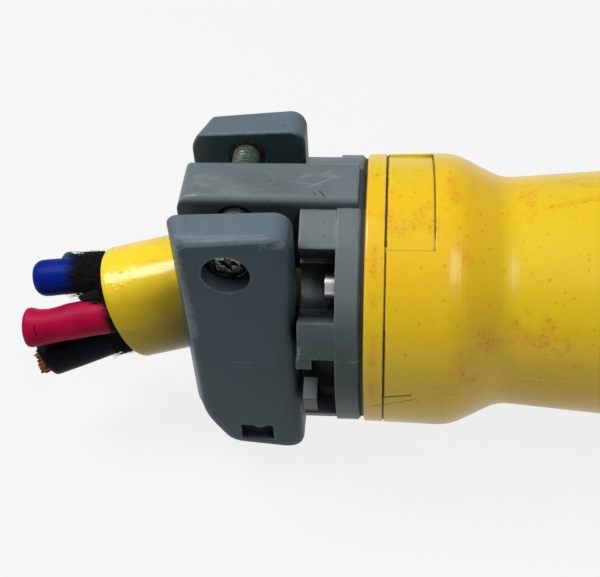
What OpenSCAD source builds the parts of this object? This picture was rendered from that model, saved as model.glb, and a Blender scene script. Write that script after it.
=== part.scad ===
// Four-conductor 100 A pin-and-sleeve shore-power plug on a cut-off cable.
// The plug lies along X. X = 0 is the plane of the plug's mouth, +X leaves the mouth,
// and the drawing stations below are counted from the seat of the cable clamp.

/* [Housing] */
// Outer diameter of the rear bell at the cable clamp's seat
bell_d = 93; // [88:0.5:98]
// Length of the rear bell up to its shoulder
bell_len = 29; // [27:0.5:33]
// Diameter of the waist that the hand grips
neck_d = 77.8; // [72:0.5:84]
// Station of the waist
neck_x = 45.5; // [43:0.5:50]
// Angle at which the handle widens towards the front
flare = 4.7; // [3:0.1:6]
// Length of the housing
housing_len = 150; // [145:1:170]
// Wall of the housing
wall = 4; // [3:0.25:5]
// Diameter of the front collar
collar_d = 112; // [108:0.5:120]
// Length of the front collar
collar_len = 12; // [11:0.5:16]
// Station of the groove behind the label panel
groove_x = 6.5; // [6:0.25:9]
// Length of the recessed label panel
panel_len = 15.3; // [12:0.1:17]
// Arc that the label panel covers
panel_arc = 62; // [40:1:80]

/* [Cable] */
// Outer diameter of the jacket
cable_d = 40.8; // [40.4:0.1:41.6]
// Wall of the jacket
jacket_wall = 3.8; // [3:0.1:3.9]
// Diameter of an insulated conductor
wire_d = 13; // [11.8:0.1:13.2]
// Diameter of a conductor's copper strand
core_d = 9.4; // [8:0.1:10.4]
// Angle by which the cable sags once it has left the clamp
sag = 13; // [5:1:16]
// Station where the sag starts, behind the clamp's seat
sag_x = 52; // [50:1:60]
// Length of the straight jacket from the sag to the cut
stub_len = 26.7; // [15:0.1:60]
// Length of a conductor's tail past the cut; each one's own share of it is set below
tail_len = 30; // [20:0.5:45]

/* [Cable clamp] */
// Diameter of the clamp's flange
flange_d = 92.4; // [88:0.5:98]
// Thickness of the flange
flange_t = 8.2; // [6:0.2:9]
// Length of the shoulder blocks behind the flange
block_len = 11.7; // [10:0.1:14]
// Width of the two posts
post_w = 20; // [17:0.5:21]
// Height of a post's outer face above the plug's axis
post_top = 48.5; // [47:0.5:50]
// Length of the posts, from the seat to their free end
post_len = 60.5; // [56:0.5:62]
// Angle of the parting plane between the clamp's two halves
parting = 14.3; // [8:0.1:20]

/* [Jaws] */
// Length of a jaw along the cable
jaw_len = 39.3; // [34:0.1:41]
// Height of a jaw
jaw_h = 100.8; // [98:0.2:108]
// Thickness of a jaw
jaw_t = 13.5; // [12:0.25:15]
// Station of the jaw's front side, behind the clamp's seat
jaw_x = 21.8; // [21.6:0.1:24]
// How far each jaw backs away from the cable
jaw_travel = 3.5; // [1:0.25:4]
// How far the back jaw stands out past the front one's distance when the clamp is tight
back_jaw_gap = 2; // [0:0.1:2.2]

/* [Clamp screws] */
// Diameter of a clamp screw
screw_d = 9.5; // [8:0.1:10]
// Diameter of its head
head_d = 14.4; // [13:0.1:15]
// Height of its head
head_h = 3.2; // [2.5:0.1:4]
// Station of both screws, behind the clamp's seat
screw_x = 42; // [40:0.5:43]
// Height of the screws above and below the axis
screw_z = 39.1; // [38:0.1:40]

/* [Front sleeve] */
// How far the sleeve reaches past the housing
sleeve_reach = 75; // [70:1:90]
// Outer diameter of the sleeve
sleeve_d = 94; // [92:0.5:96]
// Wall of the sleeve
sleeve_wall = 3.8; // [3:0.1:4.5]
// Thickness of the sleeve's flange
sleeve_flange_t = 7; // [6:0.25:9]
// Diameter of the spigot that enters the housing
spigot_d = 83.6; // [82:0.2:85]

/* [Locking ring] */
// Diameter over the ring's grips
ring_d = 124; // [122:0.5:130]
// Length of the ring
ring_len = 42; // [38:1:50]
// Number of flutes round the ring
ring_flutes = 24; // [12:1:30]
// Angle through which the ring turns to lock
ring_turn = 45; // [30:5:60]

/* [Contacts] */
// Diameter of a phase pin
pin_d = 10; // [9:0.1:11]
// Diameter of the earth pin
earth_d = 12; // [11.5:0.1:13]
// Diameter of the circle that the pins stand on
pin_circle = 48; // [46:0.5:49]
// Depth of the pins' tips behind the mouth
pin_recess = 20; // [15:1:25]
// Thickness of the contact carrier
carrier_t = 18; // [15:0.5:22]

/* [Fits] */
// Radial gap between a turning part and its seat
running = 0.3; // [0.2:0.05:0.5]
// Radial gap between fixed parts that plug together
snug = 0.1; // [0.05:0.05:0.2]
// Radial gap of a screw in its thread
thread_gap = 0.05; // [0.02:0.01:0.09]

/* [Hidden] */

ROUND = 128;   // facets that draw a large round
SMALL = 48;    // facets that draw a small round

bell_r = bell_d / 2;
neck_r = neck_d / 2;
collar_r = collar_d / 2;
bell_growth = 0.7;              // draft of the bell over its length
bell_end_r = bell_r + bell_growth;
flare_end_x = housing_len - collar_len - 4;
flare_end_r = neck_r + (flare_end_x - neck_x) * tan(flare);
plug_len = housing_len + sleeve_reach;
rim_chamfer = 0.8;
panel_depth = 0.8;
groove_w = 0.6;

// Gland at the rear of the housing
cable_r = cable_d / 2;
gland_r = 28;                   // bore that holds washer and grommet
gland_depth = 24;
washer_t = 2;
lip_r = cable_r + 1.6;
lip_t = 3;

// Screws between clamp flange and housing
flange_screw_circle = 36;
flange_screw_r = 2.5;
flange_head_r = 4.5;
flange_head_h = 3.4;
flange_screw_depth = 17;
flange_screw_angles = [45, 135, 225, 315];

// Rear gasket and flange stations
gasket_t = 0.8;
flange_r = flange_d / 2;
flange_x = gasket_t + flange_t;         // rear face of the flange, behind the seat
block_x = flange_x + block_len;
cable_hole_r = cable_r + 0.5;
block_in_r = 26;
pocket_from = 30.4;
pocket_to = 59.6;
block_to = 77;
channel_r = 7.4;
hook_w = 4.9;
hook_drop = 4.8;                // angle that the hook reaches past the parting plane
hook_in_r = 37;
catch_from = 156;
catch_to = 170;
catch_w = 4.6;
catch_inset = 0.9;

// Posts
post_in = cable_r + 2.1;
post_edge = 3;
post_end_edge = 5;
post_hole_r = screw_d / 2 + 1.55;

// Jaws: the back one is turned half round the plug's axis; its slanted corner is smaller
jaw_in = cable_r + 1.5;
jaw_out = jaw_in + jaw_t;
jaw_back = jaw_x + jaw_len;
jaw_recede = 3.8;               // how far the cable side leans in towards the outer face
jaw_edge = 3;
jaw_rise = 2.6;                 // how far the jaw's middle lies above the axis
jaw_skew = 0.2;                 // lean of the jaw's front side
jaw_taper = 0.3;                // how much shorter the jaw is at its lower end
jaw_draft = 1.8;                // how far the jaw's height grows towards the flange, at each end
jaw_draft_out = 3;              // the same on its outer face
jaw_slant = 8.5;                // width of the slanted lower back corner on the outer face
jaw_slant_in = 5;               // the same on the cable side, at the most
back_slant = 2.5;               // the same on the back jaw's outer face
back_reach = 1;                 // how much further the back jaw reaches at that end
slant_rise = 1.85;              // height of the slanted corner for its width
slant_round = 3.4;              // radius where the slanted corner starts, for its width
counterbore_r = head_d / 2 + 0.4;
head_sink = 5.6;                // depth of the screw's head below the jaw's face
counterbore_depth = head_h + head_sink;
saddle_r = cable_r + running;
saddle_reach = 4;
saddle_half = 15;
saddle_len = 20;
window_w = 11.5;
window_h = 7.8;
window_x = jaw_x + 10.5;
window_z = -38.9;
window_depth = 3.6;
insert_r = screw_d / 2 + 1.85;
insert_len = jaw_t - window_depth - 1;
screw_tip = jaw_in + insert_len - 0.4;

// Front sleeve, ring and seals
sleeve_r = sleeve_d / 2;
sleeve_in_r = sleeve_r - sleeve_wall;
spigot_r = spigot_d / 2;
spigot_len = 8;
spigot_bore_r = 35;
sleeve_flange_x = housing_len + sleeve_flange_t;
sleeve_screw_circle = collar_r - 4.5;
sleeve_screw_r = 2;
sleeve_head_r = 3.6;
sleeve_screw_seat = 7;          // from the housing's front face back to the heads
key_w = 9;
key_h = 2.8;
key_len = 40;
ring_r = ring_d / 2;
flute_r = 5;
ring_x = sleeve_flange_x + running;
ring_lip_t = 6.2;
// Room between sleeve and ring for the receptacle's collar; the ring's wall has the rest
ring_gap = (ring_r - sleeve_r) * 8 / 15;
ring_skirt_in = sleeve_r + ring_gap;
ring_wall = ring_r - ring_skirt_in;
ring_chamfer = ring_wall * 0.4;
flute_depth = ring_wall * 0.26;
ring_bore_r = sleeve_r + running;
retainer_x = ring_x + ring_lip_t + running;
retainer_t = 2;
retainer_groove = 1.5;
retainer_r = sleeve_r + 3.5;
gasket_x = retainer_x + retainer_t + snug;
gasket_len = 4;
gasket_play = ring_gap * 0.075;
ramp_at = 149;                  // angle at the middle of the first of three ramps
ramp_arc = 44;
ramp_h = 3.2;
ramp_w = 6;
ramp_slope = 7;
ramp_x = ring_x + ring_len - 14;
seal_r = 1.1;
seal_groove = 2.2;

// Contacts
pin_r = pin_d / 2;
earth_r = earth_d / 2;
pin_tip_x = plug_len - pin_recess;
carrier_r = sleeve_in_r - snug;
carrier_x = housing_len + carrier_t;
terminal_disc_t = 10;
barrel_r = 8;
barrel_len = 38;
barrel_bore = core_d / 2 + snug;
barrel_bore_len = 22;
collar_step = 9.3;
collar_step_len = 4;
shank_step = 1.5;
tower_h = 3;
pin_x = carrier_x + tower_h + 0.5;   // where the free pin starts
carrier_bolt_r = 2.5;
carrier_screw_r = 1.4;
carrier_head_r = 2.5;
carrier_screw_circle = spigot_bore_r + 2.25;
terminal_screw_r = 3;
terminal_screw_stations = [6, 15];

// Cable routes, in the cable's own frame: it sags towards the front and down
cable_roll = -45;
sag_r = 30;
cut_skew = 10.2;                // angles by which the cable's cut is askew, sideways and up
cut_rake = 6.2;
jacket_front = 14;
wire_gap = 0.1;                // round each conductor, in the filler and over its copper
wire_web = 0.3;                 // least filler between two conductors
wire_offset = (wire_d + 2 * wire_gap + wire_web) / sqrt(2);
filler_r = cable_r - jacket_wall - snug;
filler_stand = 3;
wire_sides = 12;
fan_from = 17;
fan_to = housing_len - barrel_len - 6;
BLUE = 112;
RED = BLUE + 90;
BLACK = BLUE + 180;
GREEN = BLUE + 270;
fan_twist = 135 - BLUE;         // turn of the conductors on their way to the pins
// Tail of each conductor past the cut: length, then how far its tip strays up
tail_blue = tail_len * [0.987, 0.2];
tail_red = tail_len * [1.187, 0.047];
tail_black = tail_len * [1.16, -0.153];
tail_green = tail_len * [0.96, 0.483];
tail_spread = 0.1;              // how far the tips stand apart sideways, of their distance at the cut

YELLOW = [0.93, 0.74, 0.12];
LEMON = [0.95, 0.82, 0.15];
GREY = [0.33, 0.37, 0.4];
STEEL = [0.72, 0.73, 0.75];
BRASS = [0.8, 0.65, 0.3];
COPPER = [0.72, 0.42, 0.25];
RUBBER = [0.12, 0.12, 0.13];
BLUE_SHELL = [0.1, 0.3, 0.65];

// ---- helpers ----

// Puts the stations counted from the clamp's seat into the frame of the mouth
module place() translate([-plug_len, 0, 0]) children();

// Turns an outline of [radius, station] round the plug's axis
module lathe(outline) rotate([0, 90, 0]) rotate_extrude($fn = ROUND) polygon(outline);

// A straight round from one station to another
module rod(r, from, to, fn = SMALL) translate([from, 0, 0]) rotate([0, 90, 0])
    cylinder(r = r, h = to - from, $fn = fn);

// Turns what stands above the axis to an angle counted from the front (-Y) upwards
module at(angle) rotate([90 - angle, 0, 0]) children();

// Part of a ring between two angles
module sector(a0, a1, r0, r1, x0, x1) rotate([0, 90, 0]) rotate([0, 0, -a1 - 90])
    rotate_extrude(angle = a1 - a0, $fn = ROUND)
        translate([r0, x0]) square([r1 - r0, x1 - x0]);

// Rounds each corner of an outline whose points are [x, y, radius, steps of the round]
function unit(v) = v / norm(v);
function corner(a, b, c, r, n) =
    let (u = unit([a.x - b.x, a.y - b.y]), v = unit([c.x - b.x, c.y - b.y]))
    let (half = acos(max(-1, min(1, u * v))) / 2, back = r / tan(half))
    let (m = [b.x, b.y] + unit(u + v) * r / sin(half))
    let (p = [b.x, b.y] + u * back - m, q = [b.x, b.y] + v * back - m)
    let (steps = n ? n : max(2, ceil((180 - 2 * half) / 6)))
    [for (i = [0:steps]) m + unit(p * (steps - i) + q * i) * r];
function rounded(pts) = [
    for (i = [0:len(pts) - 1])
        let (b = pts[i], a = pts[(i + len(pts) - 1) % len(pts)], c = pts[(i + 1) % len(pts)])
            each (b[2] > 0 ? corner(a, b, c, b[2], b[3]) : [[b.x, b.y]])
];

// ---- housing ----

housing_outline = rounded([
    [0, 0, 0], [bell_r, 0, rim_chamfer], [bell_end_r, bell_len, 18], [neck_r, neck_x, 14],
    [flare_end_r, flare_end_x, 5], [collar_r, housing_len - collar_len, 2.5],
    [collar_r, housing_len, rim_chamfer], [0, housing_len, 0]
]);
cavity_from = gland_depth + lip_t;
housing_cavity = [
    [0, -1], [gland_r, -1], [gland_r, gland_depth], [lip_r, gland_depth],
    [lip_r, cavity_from], [neck_r - wall, neck_x - 4], [neck_r - wall, neck_x],
    [flare_end_r - wall, flare_end_x], [spigot_r + snug, housing_len - spigot_len - 2],
    [spigot_r + snug, housing_len + 1], [0, housing_len + 1]
];

module housing() color(YELLOW) place() difference() {
    lathe(housing_outline);
    lathe(housing_cavity);
    lathe([
        [bell_r - 0.5, groove_x - groove_w / 2], [bell_r + 5, groove_x - groove_w / 2],
        [bell_r + 5, groove_x + groove_w / 2], [bell_r - 0.5, groove_x + groove_w / 2]
    ]);
    sector(90 - panel_arc / 2, 90 + panel_arc / 2, bell_r - panel_depth + 0.3, bell_r + 5,
        groove_x, groove_x + panel_len);
    for (a = flange_screw_angles) at(a) translate([0, 0, flange_screw_circle])
        rod(flange_screw_r + thread_gap, -1, flange_screw_depth + 1);
    for (a = flange_screw_angles) at(a) translate([0, 0, sleeve_screw_circle]) {
        rod(sleeve_screw_r + 0.3, flare_end_x - 20, housing_len + 1);
        rod(sleeve_head_r + 0.5, flare_end_x - 20, housing_len - sleeve_screw_seat);
    }
}

// ---- cable clamp ----

module shoulder_block() difference() {
    sector(0, block_to - parting, block_in_r, flange_r - 0.4, -block_x, -flange_x);
    at(45 - parting) translate([0, 0, flange_screw_circle]) rod(channel_r, -block_x - 1, 0);
    sector(pocket_from - parting, pocket_to - parting, flange_screw_circle, flange_r + 5,
        -block_x - 1, 0);
}

module hook() {
    tip = (flange_r - hook_in_r) / 2;
    sector(-hook_drop, 0.01, hook_in_r, flange_r - 0.6, -block_x - 0.5, -block_x + hook_w - 0.5);
}

module post() difference() {
    translate([-post_len, -post_w / 2, post_in])
        cube([post_len - gasket_t - 1.6, post_w, post_top - post_in]);
    // rounded outer edges
    for (side = [-1, 1]) scale([1, side, 1])
        translate([-post_len - 1, post_w / 2 - post_edge, post_top - post_edge]) difference() {
            cube([post_len + 2, post_edge + 1, post_edge + 1]);
            rotate([0, 90, 0]) translate([0, 0, -1])
                cylinder(r = post_edge, h = post_len + 4, $fn = SMALL);
        }
    // rounded free end
    translate([-post_len + post_end_edge, -post_w, post_top - post_end_edge]) difference() {
        translate([-post_end_edge - 1, 0, 0])
            cube([post_end_edge + 1, 2 * post_w, post_end_edge + 1]);
        translate([0, -1, 0]) rotate([-90, 0, 0])
            cylinder(r = post_end_edge, h = 2 * post_w + 2, $fn = SMALL);
    }
    translate([-screw_x, post_w, screw_z]) rotate([90, 0, 0])
        cylinder(r = post_hole_r, h = 2 * post_w, $fn = SMALL);
}

// One half of the clamp body; the other is the same part turned half round
module clamp_half() {
    difference() {
        union() {
            sector(parting, parting + 180, cable_hole_r, flange_r, -flange_x, -gasket_t);
            rotate([-parting, 0, 0]) shoulder_block();
            sector(180 - block_to, catch_from, block_in_r, flange_r - 0.4, -block_x, -flange_x);
            rotate([-parting, 0, 0]) hook();
            sector(catch_from - 1, catch_to, hook_in_r, flange_r - 1,
                -block_x + catch_inset, -block_x + catch_inset + catch_w);
            post();
        }
        at(135) translate([0, 0, flange_screw_circle]) rod(channel_r, -block_x - 1, -flange_x);
        sector(180 - pocket_to, 180 - pocket_from, flange_screw_circle, flange_r + 5,
            -block_x - 1, -flange_x);
        for (a = [45, 135]) at(a) translate([0, 0, flange_screw_circle])
            rod(flange_screw_r + 0.3, -flange_x - 1, 0);
        // chamfer of the flange towards the housing
        rotate([0, 90, 0]) rotate_extrude($fn = ROUND) polygon([
            [flange_r - 1.2, 0], [flange_r + 6, 0], [flange_r + 6, -gasket_t - 1.2],
            [flange_r, -gasket_t - 1.2], [flange_r - 1.2, -gasket_t]
        ]);
    }
}

module clamp_half_upper() color(GREY) place() clamp_half();
module clamp_half_lower() color(GREY) place() rotate([180, 0, 0]) clamp_half();

// A cross recess in the head of a screw that points along Z
module cross_recess(r) for (turn = [0, 90]) rotate([0, 0, turn])
    cube([1.05, 0.21, 0.5] * r, center = true);

module flange_screws() color(STEEL) place() for (a = flange_screw_angles) at(a)
    translate([0, 0, flange_screw_circle]) {
        rod(flange_screw_r, -flange_x, flange_screw_depth);
        difference() {
            rod(flange_head_r, -flange_x - flange_head_h, -flange_x);
            translate([-flange_x - flange_head_h, 0, 0]) rotate([0, 90, 0])
                cross_recess(flange_head_r);
        }
    }

module rear_gasket() color(RUBBER) place() difference() {
    rod(flange_r - 1.2, -gasket_t, 0, ROUND);
    rod(gland_r - 1, -gasket_t - 1, 1, ROUND);
    for (a = flange_screw_angles) at(a) translate([0, 0, flange_screw_circle])
        rod(flange_screw_r + 0.3, -gasket_t - 1, 1);
}

module gland_washer() color(STEEL) place() difference() {
    union() {
        rod(gland_r - 1 - snug, -gasket_t, washer_t, ROUND);
        rod(gland_r - snug, 0, washer_t, ROUND);
    }
    rod(cable_r + snug, -gasket_t - 1, washer_t + 1, ROUND);
}

module cable_grommet() color(RUBBER) place() lathe([
    [cable_r + snug, washer_t], [gland_r - snug, washer_t], [gland_r - snug, gland_depth],
    [lip_r + 1.5, gland_depth], [cable_r + snug, gland_depth - 2]
]);

// ---- jaws ----

// Outline of a jaw in X and Z, drawn in by an inset; its back side recedes, its lower back
// corner is slanted, and its height grows by a draft towards the flange
function jaw_outline(inset, recede, slant, draft, reach) =
    let (low_back = -jaw_back + jaw_taper + recede + inset)
    let (top = jaw_rise + jaw_h / 2 - inset, bottom = jaw_rise - jaw_h / 2 - reach + inset)
    let (back = -jaw_back + recede + inset, low = bottom + draft / 2)
    rounded([
        [-jaw_x - jaw_skew - inset, top + draft / 2, 5.5, 8], [back, top - draft / 2, 4, 7],
        [low_back, low + slant * slant_rise, slant * slant_round, 6],
        [low_back + slant, low, slant * 0.8, 6],
        [-jaw_x + jaw_skew - inset, bottom - draft / 2, 5, 8]
    ]);

// Levels of the jaw from its inner to its outer face: [depth, inset, recede, slant, draft]
function jaw_levels(slant, inner = jaw_slant_in) = [
    [0, 0.5, 0, min(slant, inner), jaw_draft], [0.6, 0, 0, min(slant, inner), jaw_draft],
    [jaw_t - jaw_edge, 0, jaw_recede, slant, jaw_draft],
    [jaw_t - jaw_edge * 0.45, jaw_edge * 0.16, jaw_recede, slant, jaw_draft_out],
    [jaw_t - jaw_edge * 0.12, jaw_edge * 0.52, jaw_recede, slant, jaw_draft_out],
    [jaw_t, jaw_edge, jaw_recede, slant, jaw_draft_out]
];

module jaw_blank(slant, reach) {
    sides = len(jaw_outline(0, 0, slant, jaw_draft, reach));
    n = len(jaw_levels(slant));
    polyhedron(
        points = [for (l = jaw_levels(slant)) each
            [for (p = jaw_outline(l[1], l[2], l[3], l[4], reach)) [p.x, -jaw_in - l[0], p.y]]],
        faces = concat(skin(0, n, sides, false), [
            [for (k = [0:sides - 1]) k],
            [for (k = [sides - 1:-1:0]) (n - 1) * sides + k]
        ]));
}

module jaw_bore(r, z, from, to) translate([-screw_x, from, z]) rotate([90, 0, 0])
    cylinder(r = r, h = from - to, $fn = SMALL);

module jaw(gap = 0, slant = jaw_slant, reach = 0) difference() {
    union() {
        jaw_blank(slant, reach);
        translate([-jaw_x - (jaw_len + saddle_len) / 2, -jaw_in - 1, -saddle_half])
            cube([saddle_len, saddle_reach + 1, 2 * saddle_half]);
    }
    translate([0, gap, 0]) rod(saddle_r, -jaw_back - 1, 0, ROUND);
    // upper screw: through hole and counterbore for its head
    jaw_bore(screw_d / 2 + 0.4, screw_z, 0, -jaw_out - 1);
    jaw_bore(counterbore_r, screw_z, -jaw_out + counterbore_depth, -jaw_out - 1);
    // lower screw: seat of the threaded insert
    jaw_bore(insert_r + thread_gap, -screw_z, 0, -jaw_in - insert_len);
    // moulding window in the outer face, with a lip that dips into it
    translate([-window_x - window_w, -jaw_out - 1, window_z - window_h / 2]) difference() {
        cube([window_w, window_depth + 1, window_h]);
        translate([window_w * 0.6, -1, window_h + 1.2]) rotate([-90, 0, 0])
            cylinder(r = 2.4, h = window_depth + 3, $fn = SMALL);
    }
}

module insert() difference() {
    jaw_bore(insert_r, -screw_z, -jaw_in, -jaw_in - insert_len);
    jaw_bore(screw_d / 2 + thread_gap, -screw_z, 0, -jaw_out);
}

module clamp_screw() {
    jaw_bore(screw_d / 2, screw_z, screw_tip, -jaw_out + counterbore_depth);
    difference() {
        jaw_bore(head_d / 2, screw_z, -jaw_out + counterbore_depth,
            -jaw_out + counterbore_depth - head_h);
        translate([-screw_x, -jaw_out + counterbore_depth - head_h, screw_z])
            rotate([90, 0, 0]) cross_recess(head_d / 2);
    }
}

// Turns a piece of the front jaw half round the plug's axis, into the back jaw's place
module back() translate([0, back_jaw_gap, 0]) rotate([180, 0, 0]) children();

module front_jaw() color(GREY) place() jaw();
module back_jaw() color(GREY) place() back() jaw(back_jaw_gap, back_slant, back_reach);
module insert_lower() color(BRASS) place() insert();
module insert_upper() color(BRASS) place() back() insert();
module clamp_screw_upper() color(STEEL) place() clamp_screw();
module clamp_screw_lower() color(STEEL) place() back() clamp_screw();

// ---- cable ----

// Draws a flat cross-section along the cable: straight, round the sag, straight to the cut,
// which the saw left askew
module along_cable(front, tail) rotate([cable_roll, 0, 0]) {
    translate([-sag_x, 0, 0]) rotate([90, 0, 90]) linear_extrude(sag_x + front) children();
    translate([-sag_x, 0, -sag_r]) rotate([90, 0, 0]) rotate([0, 0, 90])
        rotate_extrude(angle = sag, $fn = ROUND) translate([sag_r, 0]) rotate(-90) children();
    translate([-sag_x, 0, -sag_r]) rotate([0, -sag, 0]) difference() {
        translate([-tail - cable_d, 0, sag_r]) rotate([90, 0, 90])
            linear_extrude(tail + cable_d) children();
        translate([-tail, 0, sag_r]) rotate([0, -cut_rake, -cut_skew])
            translate([-3 * cable_d, -cable_d, -cable_d]) cube([3, 2, 2] * cable_d);
    }
}

module cable_jacket() color(LEMON) place() along_cable(jacket_front, stub_len) difference() {
    circle(r = cable_r, $fn = ROUND);
    circle(r = cable_r - jacket_wall, $fn = ROUND);
}

module cable_filler() color(RUBBER) place()
    along_cable(jacket_front - 1, stub_len + filler_stand) difference() {
        circle(r = filler_r, $fn = ROUND);
        for (a = [BLUE, RED, BLACK, GREEN]) rotate(a) translate([wire_offset, 0])
            circle(r = wire_d / 2 + wire_gap, $fn = SMALL);
    }

// Centre line of a conductor, from the terminal back to the tip of its tail
function ease(t) = t * t * (3 - 2 * t);
function fan_points(a, steps) = [for (i = [0:steps])
    let (t = i / steps, r = pin_circle / 2 + (wire_offset - pin_circle / 2) * ease(t))
    let (turn = a + fan_twist * (1 - ease(t)))
        [fan_to + (fan_from - fan_to) * t, r * cos(turn), r * sin(turn)]];
function bend_point(y, z, turn) =
    [-sag_x - (sag_r + z) * sin(turn), y, -sag_r + (sag_r + z) * cos(turn)];
function bend_points(y, z, steps) = [for (i = [0:steps]) bend_point(y, z, sag * i / steps)];
function tail_points(y, z, tail, steps) = [for (i = [0:steps])
    let (t = i / steps, s = stub_len + tail[0] * t, up = z + tail[1] * t * t)
        [-sag_x - (sag_r + up) * sin(sag) - s * cos(sag), y * (1 + tail_spread * t),
            -sag_r + (sag_r + up) * cos(sag) - s * sin(sag)]];
function wire_route(a, tail, ahead, behind) =
    let (y = wire_offset * cos(a), z = wire_offset * sin(a))
    let (tip = tail_points(y, z, tail, 4), last = len(tip) - 1)
    let (run = unit(tip[last] - tip[last - 1]))
    concat(
        [[fan_to + ahead, cos(a + fan_twist) * pin_circle / 2, sin(a + fan_twist) * pin_circle / 2]],
        fan_points(a, 5), bend_points(y, z, 4), tip, [tip[last] + run * behind]);

// Ring of points square to the route at one of its points
function ring_at(route, i, r) =
    let (before = route[max(0, i - 1)], after = route[min(len(route) - 1, i + 1)])
    let (t = unit(after - before), side = unit(cross([0, 0, 1], t)), up = cross(t, side))
    [for (k = [0:wire_sides - 1]) let (a = 360 * k / wire_sides)
        route[i] + (side * cos(a) + up * sin(a)) * r];
function skin(first, rings, sides, out) = [
    for (i = [0:rings - 2], k = [0:sides - 1])
        let (a = first + i * sides + k, b = first + i * sides + (k + 1) % sides)
        let (face = [a, b, b + sides, a + sides])
            each (out ? [[face[0], face[1], face[2]], [face[0], face[2], face[3]]]
                : [[face[2], face[1], face[0]], [face[3], face[2], face[0]]])
];

// Solid strand along a route
module strand(route, r) {
    n = len(route);
    polyhedron(
        points = [for (i = [0:n - 1]) each ring_at(route, i, r)],
        faces = concat(skin(0, n, wire_sides, true), [
            [for (k = [wire_sides - 1:-1:0]) k],
            [for (k = [0:wire_sides - 1]) (n - 1) * wire_sides + k]
        ]));
}

// Hollow insulation along a route
module sleeve_of(route, r, bore) {
    n = len(route);
    inner = n * wire_sides;
    end = (n - 1) * wire_sides;
    polyhedron(
        points = concat(
            [for (i = [0:n - 1]) each ring_at(route, i, r)],
            [for (i = [0:n - 1]) each ring_at(route, i, bore)]),
        faces = concat(skin(0, n, wire_sides, true), skin(inner, n, wire_sides, false), [
            for (k = [0:wire_sides - 1]) let (j = (k + 1) % wire_sides)
                each [[j, k, inner + k], [j, inner + k, inner + j],
                    [end + k, end + j, inner + end + j], [end + k, inner + end + j, inner + end + k]]
        ]));
}

module wire(a, tail) place() rotate([cable_roll, 0, 0])
    sleeve_of(wire_route(a, tail, 3, 0.5), wire_d / 2, core_d / 2 + wire_gap);
module core(a, tail, bare) place() rotate([cable_roll, 0, 0])
    strand(wire_route(a, tail, barrel_bore_len + 4, bare), core_d / 2);

module wire_blue() color([0.05, 0.2, 0.65]) wire(BLUE, tail_blue);
module wire_red() color([0.75, 0.1, 0.3]) wire(RED, tail_red);
module wire_black() color([0.08, 0.08, 0.09]) wire(BLACK, tail_black);
module wire_green() color([0.1, 0.45, 0.4]) wire(GREEN, tail_green);
module core_blue() color(COPPER) core(BLUE, tail_blue, -1);
module core_red() color(COPPER) core(RED, tail_red, -1);
module core_black() color(COPPER) core(BLACK, tail_black, 1.2);
module core_green() color(COPPER) core(GREEN, tail_green, 0.5);

// ---- front end ----

module front_sleeve() color(BLUE_SHELL) place() difference() {
    union() {
        lathe([
            [spigot_bore_r, housing_len - spigot_len], [spigot_r, housing_len - spigot_len],
            [spigot_r, housing_len], [collar_r, housing_len],
            [collar_r, sleeve_flange_x - 1], [collar_r - 1, sleeve_flange_x],
            [sleeve_r, sleeve_flange_x], [sleeve_r, plug_len - 1], [sleeve_r - 1, plug_len],
            [sleeve_in_r, plug_len], [sleeve_in_r, housing_len], [spigot_bore_r, housing_len]
        ]);
        // key that fits the notch of the receptacle
        translate([plug_len - key_len, -key_w / 2, -sleeve_r - key_h])
            cube([key_len - 1, key_w, key_h + sleeve_wall / 2]);
    }
    // seat of the ring's retainer
    difference() {
        rod(sleeve_r + 1, retainer_x, retainer_x + retainer_t, ROUND);
        rod(sleeve_r - retainer_groove, retainer_x - 1, retainer_x + retainer_t + 1, ROUND);
    }
    // seat of the spigot's seal
    difference() {
        rod(spigot_r + 1, housing_len - spigot_len + 2.5, housing_len - spigot_len + 5.1, ROUND);
        rod(spigot_r - seal_groove, 0, plug_len, ROUND);
    }
    for (a = flange_screw_angles) at(a) translate([0, 0, sleeve_screw_circle])
        rod(sleeve_screw_r + thread_gap, housing_len - 1, sleeve_flange_x - 1);
    for (a = flange_screw_angles) at(a) translate([0, 0, carrier_screw_circle])
        rod(carrier_screw_r + thread_gap, housing_len - spigot_len + 1, housing_len + 1);
}

module sleeve_screws() color(STEEL) place() for (a = flange_screw_angles) at(a)
    translate([0, 0, sleeve_screw_circle]) {
        rod(sleeve_screw_r, housing_len - sleeve_screw_seat, sleeve_flange_x - 1.5);
        difference() {
            rod(sleeve_head_r, housing_len - sleeve_screw_seat - 3, housing_len - sleeve_screw_seat);
            translate([housing_len - sleeve_screw_seat - 3, 0, 0]) rotate([0, 90, 0])
                cross_recess(sleeve_head_r);
        }
    }

module sleeve_seal() color(RUBBER) place()
    translate([housing_len - spigot_len + 3.8, 0, 0]) rotate([0, 90, 0])
        rotate_extrude($fn = ROUND) translate([spigot_r - seal_groove + seal_r + 0.05, 0])
            circle(r = seal_r, $fn = SMALL);

module contact_carrier() color(BLUE_SHELL) place() difference() {
    union() {
        rod(carrier_r, housing_len, carrier_x, ROUND);
        for (a = [0, 90, 180, 270]) at(a) translate([0, 0, pin_circle / 2])
            rod(earth_r + 3.5, carrier_x - 1, carrier_x + tower_h);
    }
    for (a = [0, 90, 180, 270]) at(a) translate([0, 0, pin_circle / 2]) {
        rod((a == 180 ? earth_r : pin_r) + shank_step + snug, housing_len - 1, plug_len);
        rod(collar_step + snug, housing_len - 1, housing_len + collar_step_len + snug);
    }
    rod(carrier_bolt_r + thread_gap, housing_len - 1, carrier_x - 4);
    for (a = flange_screw_angles) at(a) translate([0, 0, carrier_screw_circle]) {
        rod(carrier_screw_r + 0.2, housing_len - 1, carrier_x + 1);
        rod(carrier_head_r + 0.2, carrier_x - 3, carrier_x + 1);
    }
}

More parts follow.
